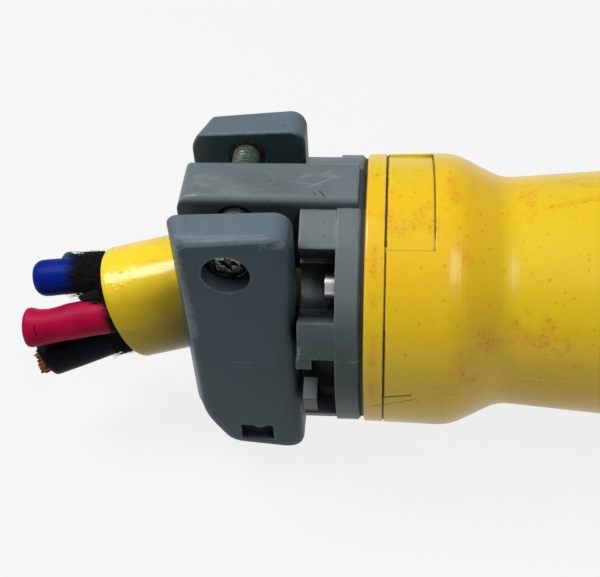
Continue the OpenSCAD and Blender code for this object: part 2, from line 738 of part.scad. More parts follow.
module terminal_carrier() color(RUBBER) place() difference() {
    rod(spigot_bore_r - snug, housing_len - terminal_disc_t, housing_len, ROUND);
    for (a = [0, 90, 180, 270]) at(a) translate([0, 0, pin_circle / 2])
        rod(barrel_r + snug, housing_len - terminal_disc_t - 1, housing_len + 1);
    rod(carrier_bolt_r + 0.2, 0, plug_len);
}

module carrier_screws() color(STEEL) place() for (a = flange_screw_angles) at(a)
    translate([0, 0, carrier_screw_circle]) {
        rod(carrier_screw_r, housing_len - spigot_len + 2, carrier_x - 3);
        rod(carrier_head_r, carrier_x - 3, carrier_x - 0.5);
    }

module carrier_bolt() color(STEEL) place() {
    rod(carrier_bolt_r, housing_len - terminal_disc_t, carrier_x - 5);
    rod(carrier_bolt_r + 2, housing_len - terminal_disc_t - 3.5, housing_len - terminal_disc_t);
}

// A contact: wire barrel, retaining collar, shank in the carrier and the free pin
module contact(r) difference() {
    union() {
        rod(barrel_r, housing_len - barrel_len, housing_len);
        rod(collar_step, housing_len, housing_len + collar_step_len);
        rod(r + shank_step, housing_len + collar_step_len, pin_x);
        rotate([0, 90, 0]) rotate_extrude($fn = SMALL) polygon([
            [0, pin_x], [r, pin_x], [r, pin_tip_x - 3], [r - 2.2, pin_tip_x], [0, pin_tip_x]
        ]);
    }
    rod(barrel_bore, housing_len - barrel_len - 1, housing_len - barrel_len + barrel_bore_len);
    for (s = terminal_screw_stations) translate([housing_len - barrel_len + s, 0, 0])
        cylinder(r = terminal_screw_r + thread_gap, h = barrel_r + 1, $fn = SMALL);
}

module pin_at(angle, r) at(angle) translate([0, 0, pin_circle / 2]) contact(r);
module pin_red() color(BRASS) place() pin_at(0, pin_r);
module pin_blue() color(BRASS) place() pin_at(90, pin_r);
module pin_earth() color(BRASS) place() pin_at(180, earth_r);
module pin_black() color(BRASS) place() pin_at(270, pin_r);

module terminal_screws() color(STEEL) place() for (a = [0, 90, 180, 270], s = terminal_screw_stations)
    at(a) translate([housing_len - barrel_len + s, 0, pin_circle / 2 + core_d / 2 + snug])
        cylinder(r = terminal_screw_r, h = barrel_r - core_d / 2 + 0.2, $fn = SMALL);

// Ramp that draws a lug of the receptacle home
module ramp() intersection() {
    sector(90 - ramp_arc / 2, 90 + ramp_arc / 2, ring_skirt_in - ramp_h, ring_skirt_in + ring_wall / 7,
        ramp_x - ring_len / 2, ramp_x + ring_len / 2);
    translate([ramp_x, 0, 0]) rotate([0, 0, ramp_slope])
        translate([-ramp_w / 2, -ring_r, 0]) cube([ramp_w, 2 * ring_r, ring_r]);
}

module locking_ring() color(RUBBER) place() {
    difference() {
        lathe([
            [ring_bore_r, ring_x], [ring_r - ring_chamfer, ring_x], [ring_r, ring_x + ring_chamfer],
            [ring_r, ring_x + ring_len - ring_chamfer], [ring_r - ring_chamfer, ring_x + ring_len],
            [ring_skirt_in, ring_x + ring_len], [ring_skirt_in, ring_x + ring_lip_t],
            [ring_bore_r, ring_x + ring_lip_t]
        ]);
        for (i = [0:ring_flutes - 1]) at(360 * (i + 0.5) / ring_flutes)
            translate([0, 0, ring_r - flute_depth + flute_r]) rod(flute_r, ring_x + 5, plug_len);
    }
    for (k = [0:2]) at(ramp_at + 120 * k) ramp();
}

module ring_retainer() color(STEEL) place() difference() {
    rod(retainer_r, retainer_x + 0.05, retainer_x + retainer_t - 0.05, ROUND);
    rod(sleeve_r - retainer_groove + snug, retainer_x - 1, retainer_x + retainer_t + 1, ROUND);
    translate([retainer_x - 1, -4, sleeve_r - 5]) cube([retainer_t + 2, 8, 12]);
}

module mating_gasket() color(RUBBER) place() difference() {
    rod(ring_skirt_in - gasket_play, gasket_x, gasket_x + gasket_len, ROUND);
    rod(sleeve_r + snug, gasket_x - 1, gasket_x + gasket_len + 1, ROUND);
}

housing();
clamp_half_upper();
clamp_half_lower();
flange_screws();
rear_gasket();
gland_washer();
cable_grommet();
cable_jacket();
cable_filler();
wire_blue();
wire_red();
wire_black();
wire_green();
core_blue();
core_red();
core_black();
core_green();
front_jaw();
back_jaw();
insert_upper();
insert_lower();
clamp_screw_upper();
clamp_screw_lower();
front_sleeve();
sleeve_screws();
sleeve_seal();
contact_carrier();
terminal_carrier();
carrier_screws();
carrier_bolt();
pin_blue();
pin_red();
pin_black();
pin_earth();
terminal_screws();
locking_ring();
ring_retainer();
mating_gasket();
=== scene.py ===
"""Dresses the pin-and-sleeve shore-power plug with its cut-off cable: soft parts, threads,
fibres and finishes are added to the solids of the frame, then lit on a pale floor."""

import random
from math import atan, cos, pi, radians, sin, sqrt

import bmesh
import bpy
from bpy.props import FloatProperty, FloatVectorProperty, IntProperty, PointerProperty
from mathutils import Matrix, Vector, noise


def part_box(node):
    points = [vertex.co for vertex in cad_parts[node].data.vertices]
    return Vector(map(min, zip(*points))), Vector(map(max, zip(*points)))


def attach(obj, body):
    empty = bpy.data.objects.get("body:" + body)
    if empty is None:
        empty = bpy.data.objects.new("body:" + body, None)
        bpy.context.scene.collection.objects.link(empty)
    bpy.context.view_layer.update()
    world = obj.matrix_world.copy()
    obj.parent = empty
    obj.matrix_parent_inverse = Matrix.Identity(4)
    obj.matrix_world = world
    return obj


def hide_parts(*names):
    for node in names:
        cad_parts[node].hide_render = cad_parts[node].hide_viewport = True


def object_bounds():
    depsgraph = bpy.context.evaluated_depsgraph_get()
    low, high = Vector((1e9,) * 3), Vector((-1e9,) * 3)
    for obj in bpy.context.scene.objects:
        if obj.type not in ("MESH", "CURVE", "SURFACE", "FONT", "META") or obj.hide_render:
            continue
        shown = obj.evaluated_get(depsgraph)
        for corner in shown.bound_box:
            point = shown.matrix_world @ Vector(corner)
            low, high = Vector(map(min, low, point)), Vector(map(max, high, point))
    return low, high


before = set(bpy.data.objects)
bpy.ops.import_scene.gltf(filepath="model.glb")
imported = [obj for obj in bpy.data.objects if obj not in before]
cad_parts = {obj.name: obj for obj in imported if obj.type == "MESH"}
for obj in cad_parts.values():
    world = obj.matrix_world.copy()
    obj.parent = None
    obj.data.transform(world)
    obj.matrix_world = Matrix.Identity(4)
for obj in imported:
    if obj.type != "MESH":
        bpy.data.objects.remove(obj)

bl_info = {
    "name": "Shore power cord",
    "version": (1, 0, 0),
    "blender": (4, 5, 0),
    "location": "View3D > Sidebar > Shore power",
    "description": "Adds the soft parts and finishes of a pin-and-sleeve shore-power plug",
    "category": "Object",
}

MM = 0.001
CAD_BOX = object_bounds()

# The cable's frame, in millimetres: stations run from the seat of the clamp body, -X leads to
# the cut end, and the cable is rolled so that it sags towards the front jaw and down.
PLUG_LEN, CABLE_ROLL = 225, radians(-45)
CABLE_PLACE = (Matrix.Translation((-PLUG_LEN * MM, 0, 0)) @ Matrix.Rotation(CABLE_ROLL, 4, "X")
               @ Matrix.Scale(MM, 4))
FIBRES = 1500


def tint(red, green, blue):
    """A colour from its 0 to 255 screen values."""
    levels = [level / 255 for level in (red, green, blue)]
    return tuple(c / 12.92 if c <= 0.04045 else ((c + 0.055) / 1.055) ** 2.4 for c in levels)


# ---- sizes and colours that a user may change ----

def length(name, description, millimetres):
    """A length that a user may change."""
    return FloatProperty(name=name, description=description, default=millimetres * MM,
                         min=0, unit="LENGTH", subtype="DISTANCE")


def swatch(name, description, colour):
    """A colour that a user may change."""
    return FloatVectorProperty(name=name, description=description, default=colour,
                               size=3, min=0, max=1, subtype="COLOR")


class CableSizes(bpy.types.PropertyGroup):
    """Sizes of the cable and of what is in it"""
    jacket_diameter: length("Jacket diameter", "Outer diameter of the yellow jacket", 40.8)
    jacket_wall: length("Jacket wall", "Thickness of the yellow jacket", 3.8)
    wire_diameter: length("Conductor diameter", "Diameter over a conductor's insulation", 13)
    core_diameter: length("Strand diameter", "Diameter of a conductor's copper bundle", 9.4)
    sag: FloatProperty(name="Sag", description="Angle by which the cable droops",
                       default=radians(13), subtype="ANGLE", unit="ROTATION")
    stub: length("Stub", "Straight jacket from the sag to the cut", 26.7)
    fibres: IntProperty(name="Fibres", description="Filler fibres that stand out of the cut",
                        default=FIBRES, min=0)
    fibre_length: length("Fibre length", "Length of a filler fibre", 9)


class ScrewSizes(bpy.types.PropertyGroup):
    """Sizes of the two clamp screws"""
    diameter: length("Screw diameter", "Outer diameter of a clamp screw's thread", 9.5)
    pitch: length("Pitch", "Pitch of a clamp screw's thread", 1.5875)
    head_diameter: length("Head diameter", "Diameter of a clamp screw's head", 14.4)
    head_height: length("Head height", "Height of a clamp screw's head", 3.2)


class Colours(bpy.types.PropertyGroup):
    """Colours of the plug and the cable"""
    housing: swatch("Housing", "Moulded yellow of the housing", tint(238, 188, 10))
    clamp: swatch("Clamp", "Grey of the cable clamp", tint(70, 82, 82))
    jaw: swatch("Jaws", "Grey of the two jaws", tint(60, 80, 88))
    jacket: swatch("Jacket", "Lemon yellow of the cable jacket", tint(250, 216, 44))
    blue: swatch("Blue conductor", "Insulation of the blue conductor", tint(0, 32, 134))
    red: swatch("Red conductor", "Insulation of the raspberry conductor", tint(178, 12, 62))
    black: swatch("Black conductor", "Insulation of the black conductor", tint(5, 11, 16))
    green: swatch("Green conductor", "Insulation of the green conductor", tint(10, 92, 98))
    sleeve: swatch("Sleeve", "Blue of the front sleeve", tint(22, 62, 140))
    ring: swatch("Locking ring", "Black of the locking ring", tint(34, 35, 37))


class Studio(bpy.types.PropertyGroup):
    """Floor and light"""
    floor: swatch("Floor", "Colour of the floor and the backdrop", tint(245, 245, 245))
    lamp: FloatProperty(name="Lamp", description="Strength of the overhead lamp", default=13,
                        min=0, unit="POWER")
    sky: FloatProperty(name="Sky", description="Strength of the light from all round",
                       default=0.1, min=0)


# ---- shader helpers ----

def put(tree, kind, inputs=None, **settings):
    """Adds a node, sets its settings, and links or sets its inputs."""
    node = tree.nodes.new("ShaderNode" + kind)
    for key, value in settings.items():
        setattr(node, key, value)
    for socket, value in (inputs or {}).items():
        feed(tree, node.inputs[socket], value)
    return node


def feed(tree, socket, value):
    if isinstance(value, bpy.types.NodeSocket):
        tree.links.new(value, socket)
    elif socket.type == "RGBA" and len(value) == 3:
        socket.default_value = (*value, 1)
    else:
        socket.default_value = value


def calculate(tree, operation, *values):
    """The result of a Math node. A product or a maximum may take more than two values."""
    while len(values) > 2 and operation != "MULTIPLY_ADD":
        values = (calculate(tree, operation, *values[:2]), *values[2:])
    return put(tree, "Math", dict(enumerate(values)), operation=operation).outputs[0]


def vector(tree, operation, *values):
    return put(tree, "VectorMath", dict(enumerate(values)), operation=operation).outputs


def spread(tree, value, low, high, first=0.0, last=1.0):
    """Maps low..high onto first..last with soft ends."""
    node = put(tree, "MapRange", {0: value, 1: low, 2: high, 3: first, 4: last},
               interpolation_type="SMOOTHSTEP")
    return node.outputs[0]


def mix(tree, factor, first, second):
    """Two colours mixed by a factor."""
    return put(tree, "Mix", {0: factor, 6: first, 7: second}, data_type="RGBA").outputs[2]


def place_of(tree, scale=(1, 1, 1), turn=(0, 0, 0)):
    """Object coordinates, stretched and turned for a pattern."""
    coordinates = put(tree, "TexCoord").outputs["Object"]
    return put(tree, "Mapping", {"Vector": coordinates, "Scale": scale,
                                 "Rotation": turn}).outputs[0]


def noise_of(tree, place, scale, detail=3.0, rough=0.55, warp=0.0):
    node = put(tree, "TexNoise", {"Vector": place, "Scale": scale, "Detail": detail,
                                  "Roughness": rough, "Distortion": warp})
    return node.outputs["Fac"]


def effect(name, inputs, outputs):
    """Starts a node group and returns it with its inner input and output sockets."""
    group = bpy.data.node_groups.new(name, "ShaderNodeTree")
    for label, kind, value in inputs:
        group.interface.new_socket(label, in_out="INPUT", socket_type=kind).default_value = value
    for label, kind in outputs:
        group.interface.new_socket(label, in_out="OUTPUT", socket_type=kind)
    return (group, group.nodes.new("NodeGroupInput").outputs,
            group.nodes.new("NodeGroupOutput").inputs)


VALUE, DIRECTION = "NodeSocketFloat", "NodeSocketVector"
ROUND_R = 46.5      # radius, in millimetres, on which marks round the long axis are laid out
RAYS = 6            # rays that feel for an edge or a corner


def build_edges():
    """Rounded edges: the normal of a rounded edge, and where it is rubbed."""
    group, given, out = effect("Rounded edges", [("Radius", VALUE, 0.001), ("Wear", VALUE, 0.5)],
                               [("Normal", DIRECTION), ("Worn", VALUE)])
    soft = put(group, "Bevel", {"Radius": given["Radius"]}, samples=RAYS).outputs[0]
    flat = put(group, "NewGeometry").outputs["Normal"]
    bare = spread(group, vector(group, "DOT_PRODUCT", soft, flat)["Value"], 0.995, 0.8)
    patchy = spread(group, noise_of(group, place_of(group), 260, 4, 0.7), 0.62, 0.4)
    feed(group, out["Normal"], soft)
    feed(group, out["Worn"], calculate(group, "MULTIPLY", bare, patchy, given["Wear"]))
    return group


def build_grain():
    """Moulded grain: fine pitting over soft ripples."""
    group, given, out = effect("Moulded grain", [("Size", VALUE, 1800), ("Ripple", VALUE, 0.3)],
                               [("Height", VALUE)])
    place = place_of(group)
    fine = noise_of(group, place, given["Size"], 2, 0.6)
    ripple = calculate(group, "MULTIPLY", noise_of(group, place, 90, 2), given["Ripple"])
    feed(group, out["Height"], calculate(group, "ADD", fine, ripple))
    return group


def build_mottle():
    """Mottle: slow change of shade from handling and sun."""
    group, given, out = effect("Mottle", [("Size", VALUE, 30), ("Contrast", VALUE, 0.5)],
                               [("Mask", VALUE)])
    value = noise_of(group, place_of(group), given["Size"], 5, 0.6, 0.4)
    half = calculate(group, "MULTIPLY", given["Contrast"], 0.5)
    feed(group, out["Mask"], spread(group, value, 0.32, 0.68,
                                    calculate(group, "SUBTRACT", 0.5, half),
                                    calculate(group, "ADD", 0.5, half)))
    return group


def build_stains():
    """Stains: small soft spots of uneven strength, crowded in some places."""
    group, given, out = effect("Stains", [("Size", VALUE, 430), ("Amount", VALUE, 0.3),
                                          ("Spread", VALUE, 0.0)], [("Mask", VALUE)])
    place = place_of(group)
    cells = put(group, "TexVoronoi", {"Vector": place, "Scale": given["Size"], "Randomness": 1})
    lot = put(group, "SeparateXYZ", {0: cells.outputs["Color"]}).outputs
    wide = calculate(group, "MULTIPLY_ADD", lot["Y"], 0.3, 0.12)
    dots = calculate(group, "MULTIPLY", spread(group, cells.outputs["Distance"], wide, 0.0),
                     spread(group, lot["X"], 0.35, 0.8))
    cloud = spread(group, noise_of(group, place, 900, 3, 0.6), 0.5, 0.7, 0, 0.6)
    edge = calculate(group, "MULTIPLY_ADD", given["Amount"], -0.16, 0.66)
    crowd = spread(group, noise_of(group, place, 50, 4, 0.7), edge,
                   calculate(group, "ADD", edge, 0.12))
    where = calculate(group, "MAXIMUM", crowd, given["Spread"])
    few = calculate(group, "MULTIPLY", dots, 0.6)
    many = calculate(group, "MULTIPLY_ADD", calculate(group, "MAXIMUM", dots, cloud), 0.85, 0.15)
    feed(group, out["Mask"], calculate(group, "MAXIMUM", few, calculate(
        group, "MULTIPLY", many, where)))
    return group


def build_upper():
    """Upper side: the faces that look up, where dust settles and the sun bleaches."""
    group, given, out = effect("Upper side", [("From", VALUE, 0.3), ("To", VALUE, 0.7)],
                               [("Mask", VALUE)])
    normal = put(group, "NewGeometry").outputs["Normal"]
    rise = put(group, "SeparateXYZ", {0: normal}).outputs["Z"]
    ragged = calculate(group, "MULTIPLY_ADD", noise_of(group, place_of(group), 90, 4), 0.2, -0.1)
    feed(group, out["Mask"], spread(group, calculate(group, "ADD", rise, ragged),
                                    given["From"], given["To"]))
    return group


def build_stroke(name="Stroke", rolled=False):
    """Stroke: a ragged mark between two points of a surface."""
    group, given, out = effect(
        name, [("From", DIRECTION, (0, 0, 0)), ("To", DIRECTION, (0, 0, 0.01)),
               ("Width", VALUE, 0.001), ("Ragged", VALUE, 0.5)], [("Mask", VALUE)])
    place = flat = place_of(group)
    if rolled:
        x, y, z = put(group, "SeparateXYZ", {0: place}).outputs
        turn = calculate(group, "ARCTAN2", z, calculate(group, "MULTIPLY", y, -1))
        flat = put(group, "CombineXYZ", {0: x, 1: calculate(
            group, "MULTIPLY", turn, ROUND_R * MM)}).outputs[0]
    run = vector(group, "SUBTRACT", given["To"], given["From"])["Vector"]
    here = vector(group, "SUBTRACT", flat, given["From"])["Vector"]
    share = calculate(group, "DIVIDE", vector(group, "DOT_PRODUCT", here, run)["Value"],
                      vector(group, "DOT_PRODUCT", run, run)["Value"])
    held = put(group, "Clamp", {0: share}).outputs[0]
    near = vector(group, "MULTIPLY_ADD", run, held, given["From"])["Vector"]
    off = vector(group, "DISTANCE", flat, near)["Value"]
    uneven = calculate(group, "MULTIPLY", given["Ragged"], calculate(
        group, "MULTIPLY_ADD", noise_of(group, place, 700, 4, 0.7), 4, -2))
    width = calculate(group, "MULTIPLY", given["Width"], calculate(group, "ADD", 1, uneven))
    feed(group, out["Mask"], spread(group, off, width, calculate(group, "MULTIPLY", width, 0.3)))
    return group


def build_round_stroke():
    """Round stroke: a ragged mark on a surface that is round about the long axis."""
    return build_stroke("Round stroke", True)


def build_scratches():
    """Scratches: thin broken lines in three directions."""
    group, given, out = effect("Scratches", [("Amount", VALUE, 0.3)], [("Mask", VALUE)])
    lines = []
    for turn, stretch in ((0.5, (16, 420, 420)), (-0.9, (24, 380, 380)), (1.3, (30, 300, 300))):
        turned = place_of(group, turn=(turn, turn * 0.7, turn * 0.4))
        drawn = put(group, "Mapping", {"Vector": turned, "Scale": stretch}).outputs[0]
        off = calculate(group, "SUBTRACT", noise_of(group, drawn, 1.0, 2, 0.5), 0.5)
        lines.append(spread(group, calculate(group, "ABSOLUTE", off), 0.012, 0.0))
    gate = spread(group, noise_of(group, place_of(group), 55, 3), 0.56, 0.7)
    feed(group, out["Mask"], calculate(group, "MULTIPLY", calculate(group, "MAXIMUM", *lines),
                                       gate, given["Amount"]))
    return group


def build_grime_and_shade():
    """Grime: dirt that gathers in corners and grooves."""
    group, given, out = effect("Grime", [("Reach", VALUE, 0.004), ("Amount", VALUE, 0.6)],
                               [("Mask", VALUE)])
    open_sky = put(group, "AmbientOcclusion", {"Distance": given["Reach"]},
                   samples=RAYS).outputs["AO"]
    corner = spread(group, open_sky, 0.85, 0.25)
    broken = spread(group, noise_of(group, place_of(group), 70, 5, 0.75), 0.34, 0.6, 0.2, 1.0)
    # painted shade: the deepest recesses darken whole and unbroken, while the muck in corners is
    # broken up
    both = calculate(group, "MAXIMUM", calculate(group, "MULTIPLY", corner, broken),
                     spread(group, open_sky, 0.58, 0.28))
    feed(group, out["Mask"], calculate(group, "MULTIPLY", both, given["Amount"]))
    return group


EFFECTS = {"edges": build_edges, "grain": build_grain, "mottle": build_mottle,
           "stains": build_stains, "upper": build_upper, "stroke": build_stroke,
           "round_stroke": build_round_stroke, "scratches": build_scratches,
           "grime": build_grime_and_shade}


def use(tree, name, **values):
    """Places one of the shared effects in a material."""
    label = EFFECTS[name].__doc__.split(":")[0]
    group = bpy.data.node_groups.get(label) or EFFECTS[name]()
    node = tree.nodes.new("ShaderNodeGroup")
    node.node_tree = group
    for socket, value in values.items():
        feed(tree, node.inputs[socket], value)
    return node.outputs


def start(name, **plain):
    """A new material, with plain values for its shader's own sockets."""
    material = bpy.data.materials.new(name)
    material.use_nodes = True
    shader = material.node_tree.nodes["Principled BSDF"].inputs
    for socket, value in plain.items():
        shader[socket.replace("_", " ")].default_value = value
    return material, material.node_tree, shader


def bump(tree, height, distance, normal=None):
    """Relief of a height, over a plain or an already rounded normal."""
    inputs = {"Height": height, "Distance": distance}
    if normal is not None:
        inputs["Normal"] = normal
    return put(tree, "Bump", inputs).outputs[0]


def strokes(tree, rows):
    """The strongest of several strokes. Each row is its two ends, its width, how ragged it is
    and its strength, in millimetres; on a round surface an end is its station and its angle."""
    mask = 0.0
    for first, last, width, ragged, strength in rows:
        kind = "stroke" if len(first) == 3 else "round_stroke"
        ends = [Vector(end) if len(end) == 3 else Vector((end[0], radians(end[1]) * ROUND_R, 0))
                for end in (first, last)]
        drawn = use(tree, kind, From=ends[0] * MM, To=ends[1] * MM, Width=width * MM,
                    Ragged=ragged)["Mask"]
        mask = calculate(tree, "MAXIMUM", mask, calculate(tree, "MULTIPLY", drawn, strength))
    return mask


def darker(colour, share):
    return tuple(c * share for c in colour)


# ---- finishes ----

def moulded(name, colour, roughness, edge, wear, worn, grime=0.6, reach=0.005,
            soil_and_shade=(0.02, 0.018, 0.015), stains=0.0, stain=None, scratches=0.3, size=1800,
            pit=0.00006, shade=0.8, specular=0.25, upper=None, drift=None, rubbed=(), cut=(),
            stained=()):
    """Moulded plastic: mottled, rubbed along its edges, dirty in its corners. The upper side
    may have a colour of its own, and strokes may be rubbed pale, cut dark or stained."""
    material, tree, shader = start(name, Specular_IOR_Level=specular)
    edges = use(tree, "edges", Radius=edge, Wear=wear)
    mottle = use(tree, "mottle", Size=24, Contrast=0.5)["Mask"]
    base = mix(tree, mottle, darker(colour, shade), colour)
    if drift:
        base = mix(tree, use(tree, "mottle", Size=17, Contrast=0.9)["Mask"], base, drift)
    # painted sheen: faces that look up take the lighter upper colour
    if upper:
        base = mix(tree, use(tree, "upper")["Mask"], base,
                   mix(tree, mottle, darker(upper, shade), upper))
    # corners and recesses darken towards a dark colour: partly muck, partly painted shade
    dirt_and_shade = use(tree, "grime", Reach=reach, Amount=grime)["Mask"]
    lines = use(tree, "scratches", Amount=scratches)["Mask"]
    brushed = noise_of(tree, place_of(tree, (180, 260, 1500), (0, 0.25, 0)), 1.0, 3, 0.7)
    pale = calculate(tree, "MULTIPLY", strokes(tree, rubbed),
                     spread(tree, brushed, 0.4, 0.6, 0.3, 1.0))
    bare = calculate(tree, "MAXIMUM", edges["Worn"], pale)
    base = mix(tree, calculate(tree, "MAXIMUM", bare, lines), base, worn)
    if stains:
        spots = use(tree, "stains", Amount=stains, Spread=strokes(tree, stained))["Mask"]
        base = mix(tree, spots, base, stain)
    cuts = strokes(tree, cut)
    dirt_and_shade = calculate(tree, "MAXIMUM", dirt_and_shade, cuts)
    feed(tree, shader["Base Color"], mix(tree, dirt_and_shade, base, soil_and_shade))
    dull = calculate(tree, "MULTIPLY", calculate(tree, "MAXIMUM", dirt_and_shade, lines, bare), 0.25)
    feed(tree, shader["Roughness"], calculate(
        tree, "ADD", spread(tree, mottle, 0, 1, roughness + 0.08, roughness - 0.06), dull))
    grain = use(tree, "grain", Size=size, Ripple=0.35)["Height"]
    worked = calculate(tree, "ADD", calculate(tree, "MULTIPLY", lines, 0.6),
                       calculate(tree, "MULTIPLY", cuts, 4))
    feed(tree, shader["Normal"], bump(tree, calculate(tree, "SUBTRACT", grain, worked), pit,
                                      edges["Normal"]))
    return material


def metal(name, colour, roughness, dull=0.0, dull_colour=(0.2, 0.23, 0.19), edge=0.0003):
    """Turned metal: fine tool marks, with dull patches where it has weathered."""
    material, tree, shader = start(name)
    where = place_of(tree)
    marks = noise_of(tree, where, 2600, 2, 0.7)
    patches = noise_of(tree, where, 300, 5, 0.7, 0.6)
    weather = calculate(tree, "MULTIPLY", 1.0 if dull else 0.15, spread(
        tree, patches, 0.62 - 0.3 * dull, 0.72 - 0.3 * dull))
    # corners darken: partly muck, partly painted shade
    dirt_and_shade = use(tree, "grime", Reach=0.003, Amount=0.75)["Mask"]
    base = mix(tree, weather, colour, dull_colour)
    feed(tree, shader["Base Color"], mix(tree, dirt_and_shade, base, (0.03, 0.028, 0.024)))
    feed(tree, shader["Metallic"], calculate(tree, "SUBTRACT", 1, calculate(
        tree, "MULTIPLY", weather, 0.75 if dull else 0.1)))
    feed(tree, shader["Roughness"], calculate(
        tree, "ADD", spread(tree, marks, 0.3, 0.7, roughness - 0.06, roughness + 0.08),
        calculate(tree, "MULTIPLY", weather, 0.35)))
    relief = calculate(tree, "ADD", marks, calculate(tree, "MULTIPLY", weather, 1.5))
    feed(tree, shader["Normal"], bump(tree, relief, 0.00003,
                                      use(tree, "edges", Radius=edge)["Normal"]))
    return material


def rubber(name, colour):
    """Rubber: dull, dusty and slightly uneven."""
    material, tree, shader = start(name)
    mottle = use(tree, "mottle", Size=60, Contrast=0.8)["Mask"]
    # corners darken: partly muck, partly painted shade
    dirt_and_shade = use(tree, "grime", Reach=0.003, Amount=0.5)["Mask"]
    base = mix(tree, mottle, darker(colour, 0.7), colour)
    feed(tree, shader["Base Color"], mix(tree, dirt_and_shade, base, (0.05, 0.045, 0.04)))
    feed(tree, shader["Roughness"], spread(tree, mottle, 0, 1, 0.7, 0.6))
    grain = use(tree, "grain", Size=2400, Ripple=0.5)["Height"]
    feed(tree, shader["Normal"], bump(tree, grain, 0.00005))
    return material


def jacket_skin(colour):
    """Glossy lemon jacket: bleached on top, deep and dull below, soiled beside the clamp,
    with drag marks along it and small lumps by the cut."""
    near_cut, jaw_face, in_jaws = -0.309, -0.286, -0.272        # places along X, in metres
    material, tree, shader = start("Cable jacket", Specular_IOR_Level=0.26)
    where = place_of(tree)
    station_x = put(tree, "SeparateXYZ", {0: where}).outputs["X"]
    drag = noise_of(tree, place_of(tree, (18, 260, 260)), 1.0, 3, 0.6)
    mottle = use(tree, "mottle", Size=35, Contrast=0.7)["Mask"]
    # painted light and shade: the top keeps the lemon colour, the lower side is painted darker
    upper = use(tree, "upper", From=0.6, To=1.02)["Mask"]
    shaded_below = mix(tree, mottle, tint(176, 150, 8), tint(190, 162, 11))
    base = mix(tree, upper, shaded_below, mix(tree, mottle, darker(colour, 0.9), colour))
    base = mix(tree, spread(tree, drag, 0.58, 0.75, 0, 0.4), base, tint(150, 122, 8))
    # painted shadow of the jaws on the lower side of the jacket next to the clamp
    jaw_shadow = calculate(tree, "MULTIPLY", spread(tree, station_x, near_cut, jaw_face, 0, 0.5),
                       calculate(tree, "SUBTRACT", 1, upper))
    base = mix(tree, jaw_shadow, base, tint(70, 58, 4))
    # corners darken (muck and painted shade), and the jacket is painted dark inside the jaws,
    # where shade falls
    dirt_and_shade = calculate(tree, "MAXIMUM", use(tree, "grime", Reach=0.006, Amount=0.7)["Mask"],
                     spread(tree, station_x, jaw_face, in_jaws, 0, 0.92))
    feed(tree, shader["Base Color"], mix(tree, dirt_and_shade, base, tint(34, 27, 10)))
    feed(tree, shader["Roughness"], spread(tree, mottle, 0, 1, 0.22, 0.13))
    lumps = calculate(tree, "MULTIPLY", upper, spread(tree, station_x, -0.302, near_cut),
                      spread(tree, noise_of(tree, where, 520, 1), 0.55, 0.8, 0, 4))
    ripple = calculate(tree, "MULTIPLY", noise_of(tree, where, 120, 2), 1.5)
    relief = calculate(tree, "ADD", lumps, calculate(tree, "ADD", drag, ripple))
    feed(tree, shader["Normal"], bump(tree, relief, 0.00007))
    return material


def insulation(name, colour, bright, cut=()):
    """Soft satin insulation, rubbed brighter in streaks along it, with slits cut in it."""
    material, tree, shader = start(name, Specular_IOR_Level=0.07)
    streaks = noise_of(tree, place_of(tree, (60, 300, 300)), 1.0, 4, 0.6)
    mottle = use(tree, "mottle", Size=80, Contrast=0.8)["Mask"]
    base = mix(tree, mottle, darker(colour, 0.75), colour)
    base = mix(tree, spread(tree, streaks, 0.5, 0.75, 0, 0.1), base, bright)
    cuts = strokes(tree, cut)
    # corners darken (muck and painted shade); slits are cut dark
    dirt_and_shade = calculate(tree, "MAXIMUM", use(tree, "grime", Reach=0.005, Amount=0.85)["Mask"], cuts)
    feed(tree, shader["Base Color"], mix(tree, dirt_and_shade, base, (0.006, 0.005, 0.006)))
    feed(tree, shader["Roughness"], spread(tree, streaks, 0.3, 0.7, 0.38, 0.52))
    grain = use(tree, "grain", Size=1500, Ripple=0.8)["Height"]
    relief = calculate(tree, "SUBTRACT", calculate(tree, "ADD", grain, streaks),
                       calculate(tree, "MULTIPLY", cuts, 5))
    feed(tree, shader["Normal"], bump(tree, relief, 0.00006))
    return material


def fibre(colour):
    """Black filler fibre, combed along the cable, with paler threads in it."""
    material, tree, shader = start("Filler fibre", Sheen_Weight=0.05, Sheen_Roughness=0.4,
                                   Specular_IOR_Level=0.15)
    combed = noise_of(tree, place_of(tree, (160, 1900, 1900)), 1.0, 3, 0.7, 0.6)
    pale = spread(tree, noise_of(tree, place_of(tree), 900, 4, 0.7), 0.6, 0.74, 0, 0.6)
    feed(tree, shader["Base Color"], mix(tree, pale, colour, tint(84, 86, 84)))
    feed(tree, shader["Roughness"], spread(tree, combed, 0.3, 0.7, 0.65, 0.85))
    feed(tree, shader["Normal"], bump(tree, combed, 0.0012))
    return material


# ---- mesh helpers ----

BODY = "plug_body"      # the body that the cable rides on


def show(name, data):
    """Puts an object in the scene."""
    item = bpy.data.objects.new(name, data)
    bpy.context.collection.objects.link(item)
    return item


def add(whole, part):
    """Adds one bmesh to another."""
    carrier = bpy.data.meshes.new("carrier")
    part.to_mesh(carrier)
    part.free()
    whole.from_mesh(carrier)
    bpy.data.meshes.remove(carrier)


def finish_piece(name, shape, body, materials, replaced, sharp=35):
    """Makes a piece of a bmesh, in its place, and lets it ride on its body. It stands for a
    node of the frame, and its edges are sharp from an angle in degrees."""
    mesh = bpy.data.meshes.new(name)
    shape.to_mesh(mesh)
    shape.free()
    for material in materials:
        mesh.materials.append(material)
    mesh.shade_smooth()
    mesh.set_sharp_from_angle(angle=radians(sharp))
    piece = show(name, mesh)
    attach(piece, body)
    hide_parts(replaced)
    return piece


def verts_of(items):
    return [item for item in items if isinstance(item, bmesh.types.BMVert)]


def ways(points):
    """The direction of travel at each point of a line."""
    last = len(points) - 1
    return [(points[min(i + 1, last)] - points[max(i - 1, 0)]).normalized()
            for i in range(last + 1)]


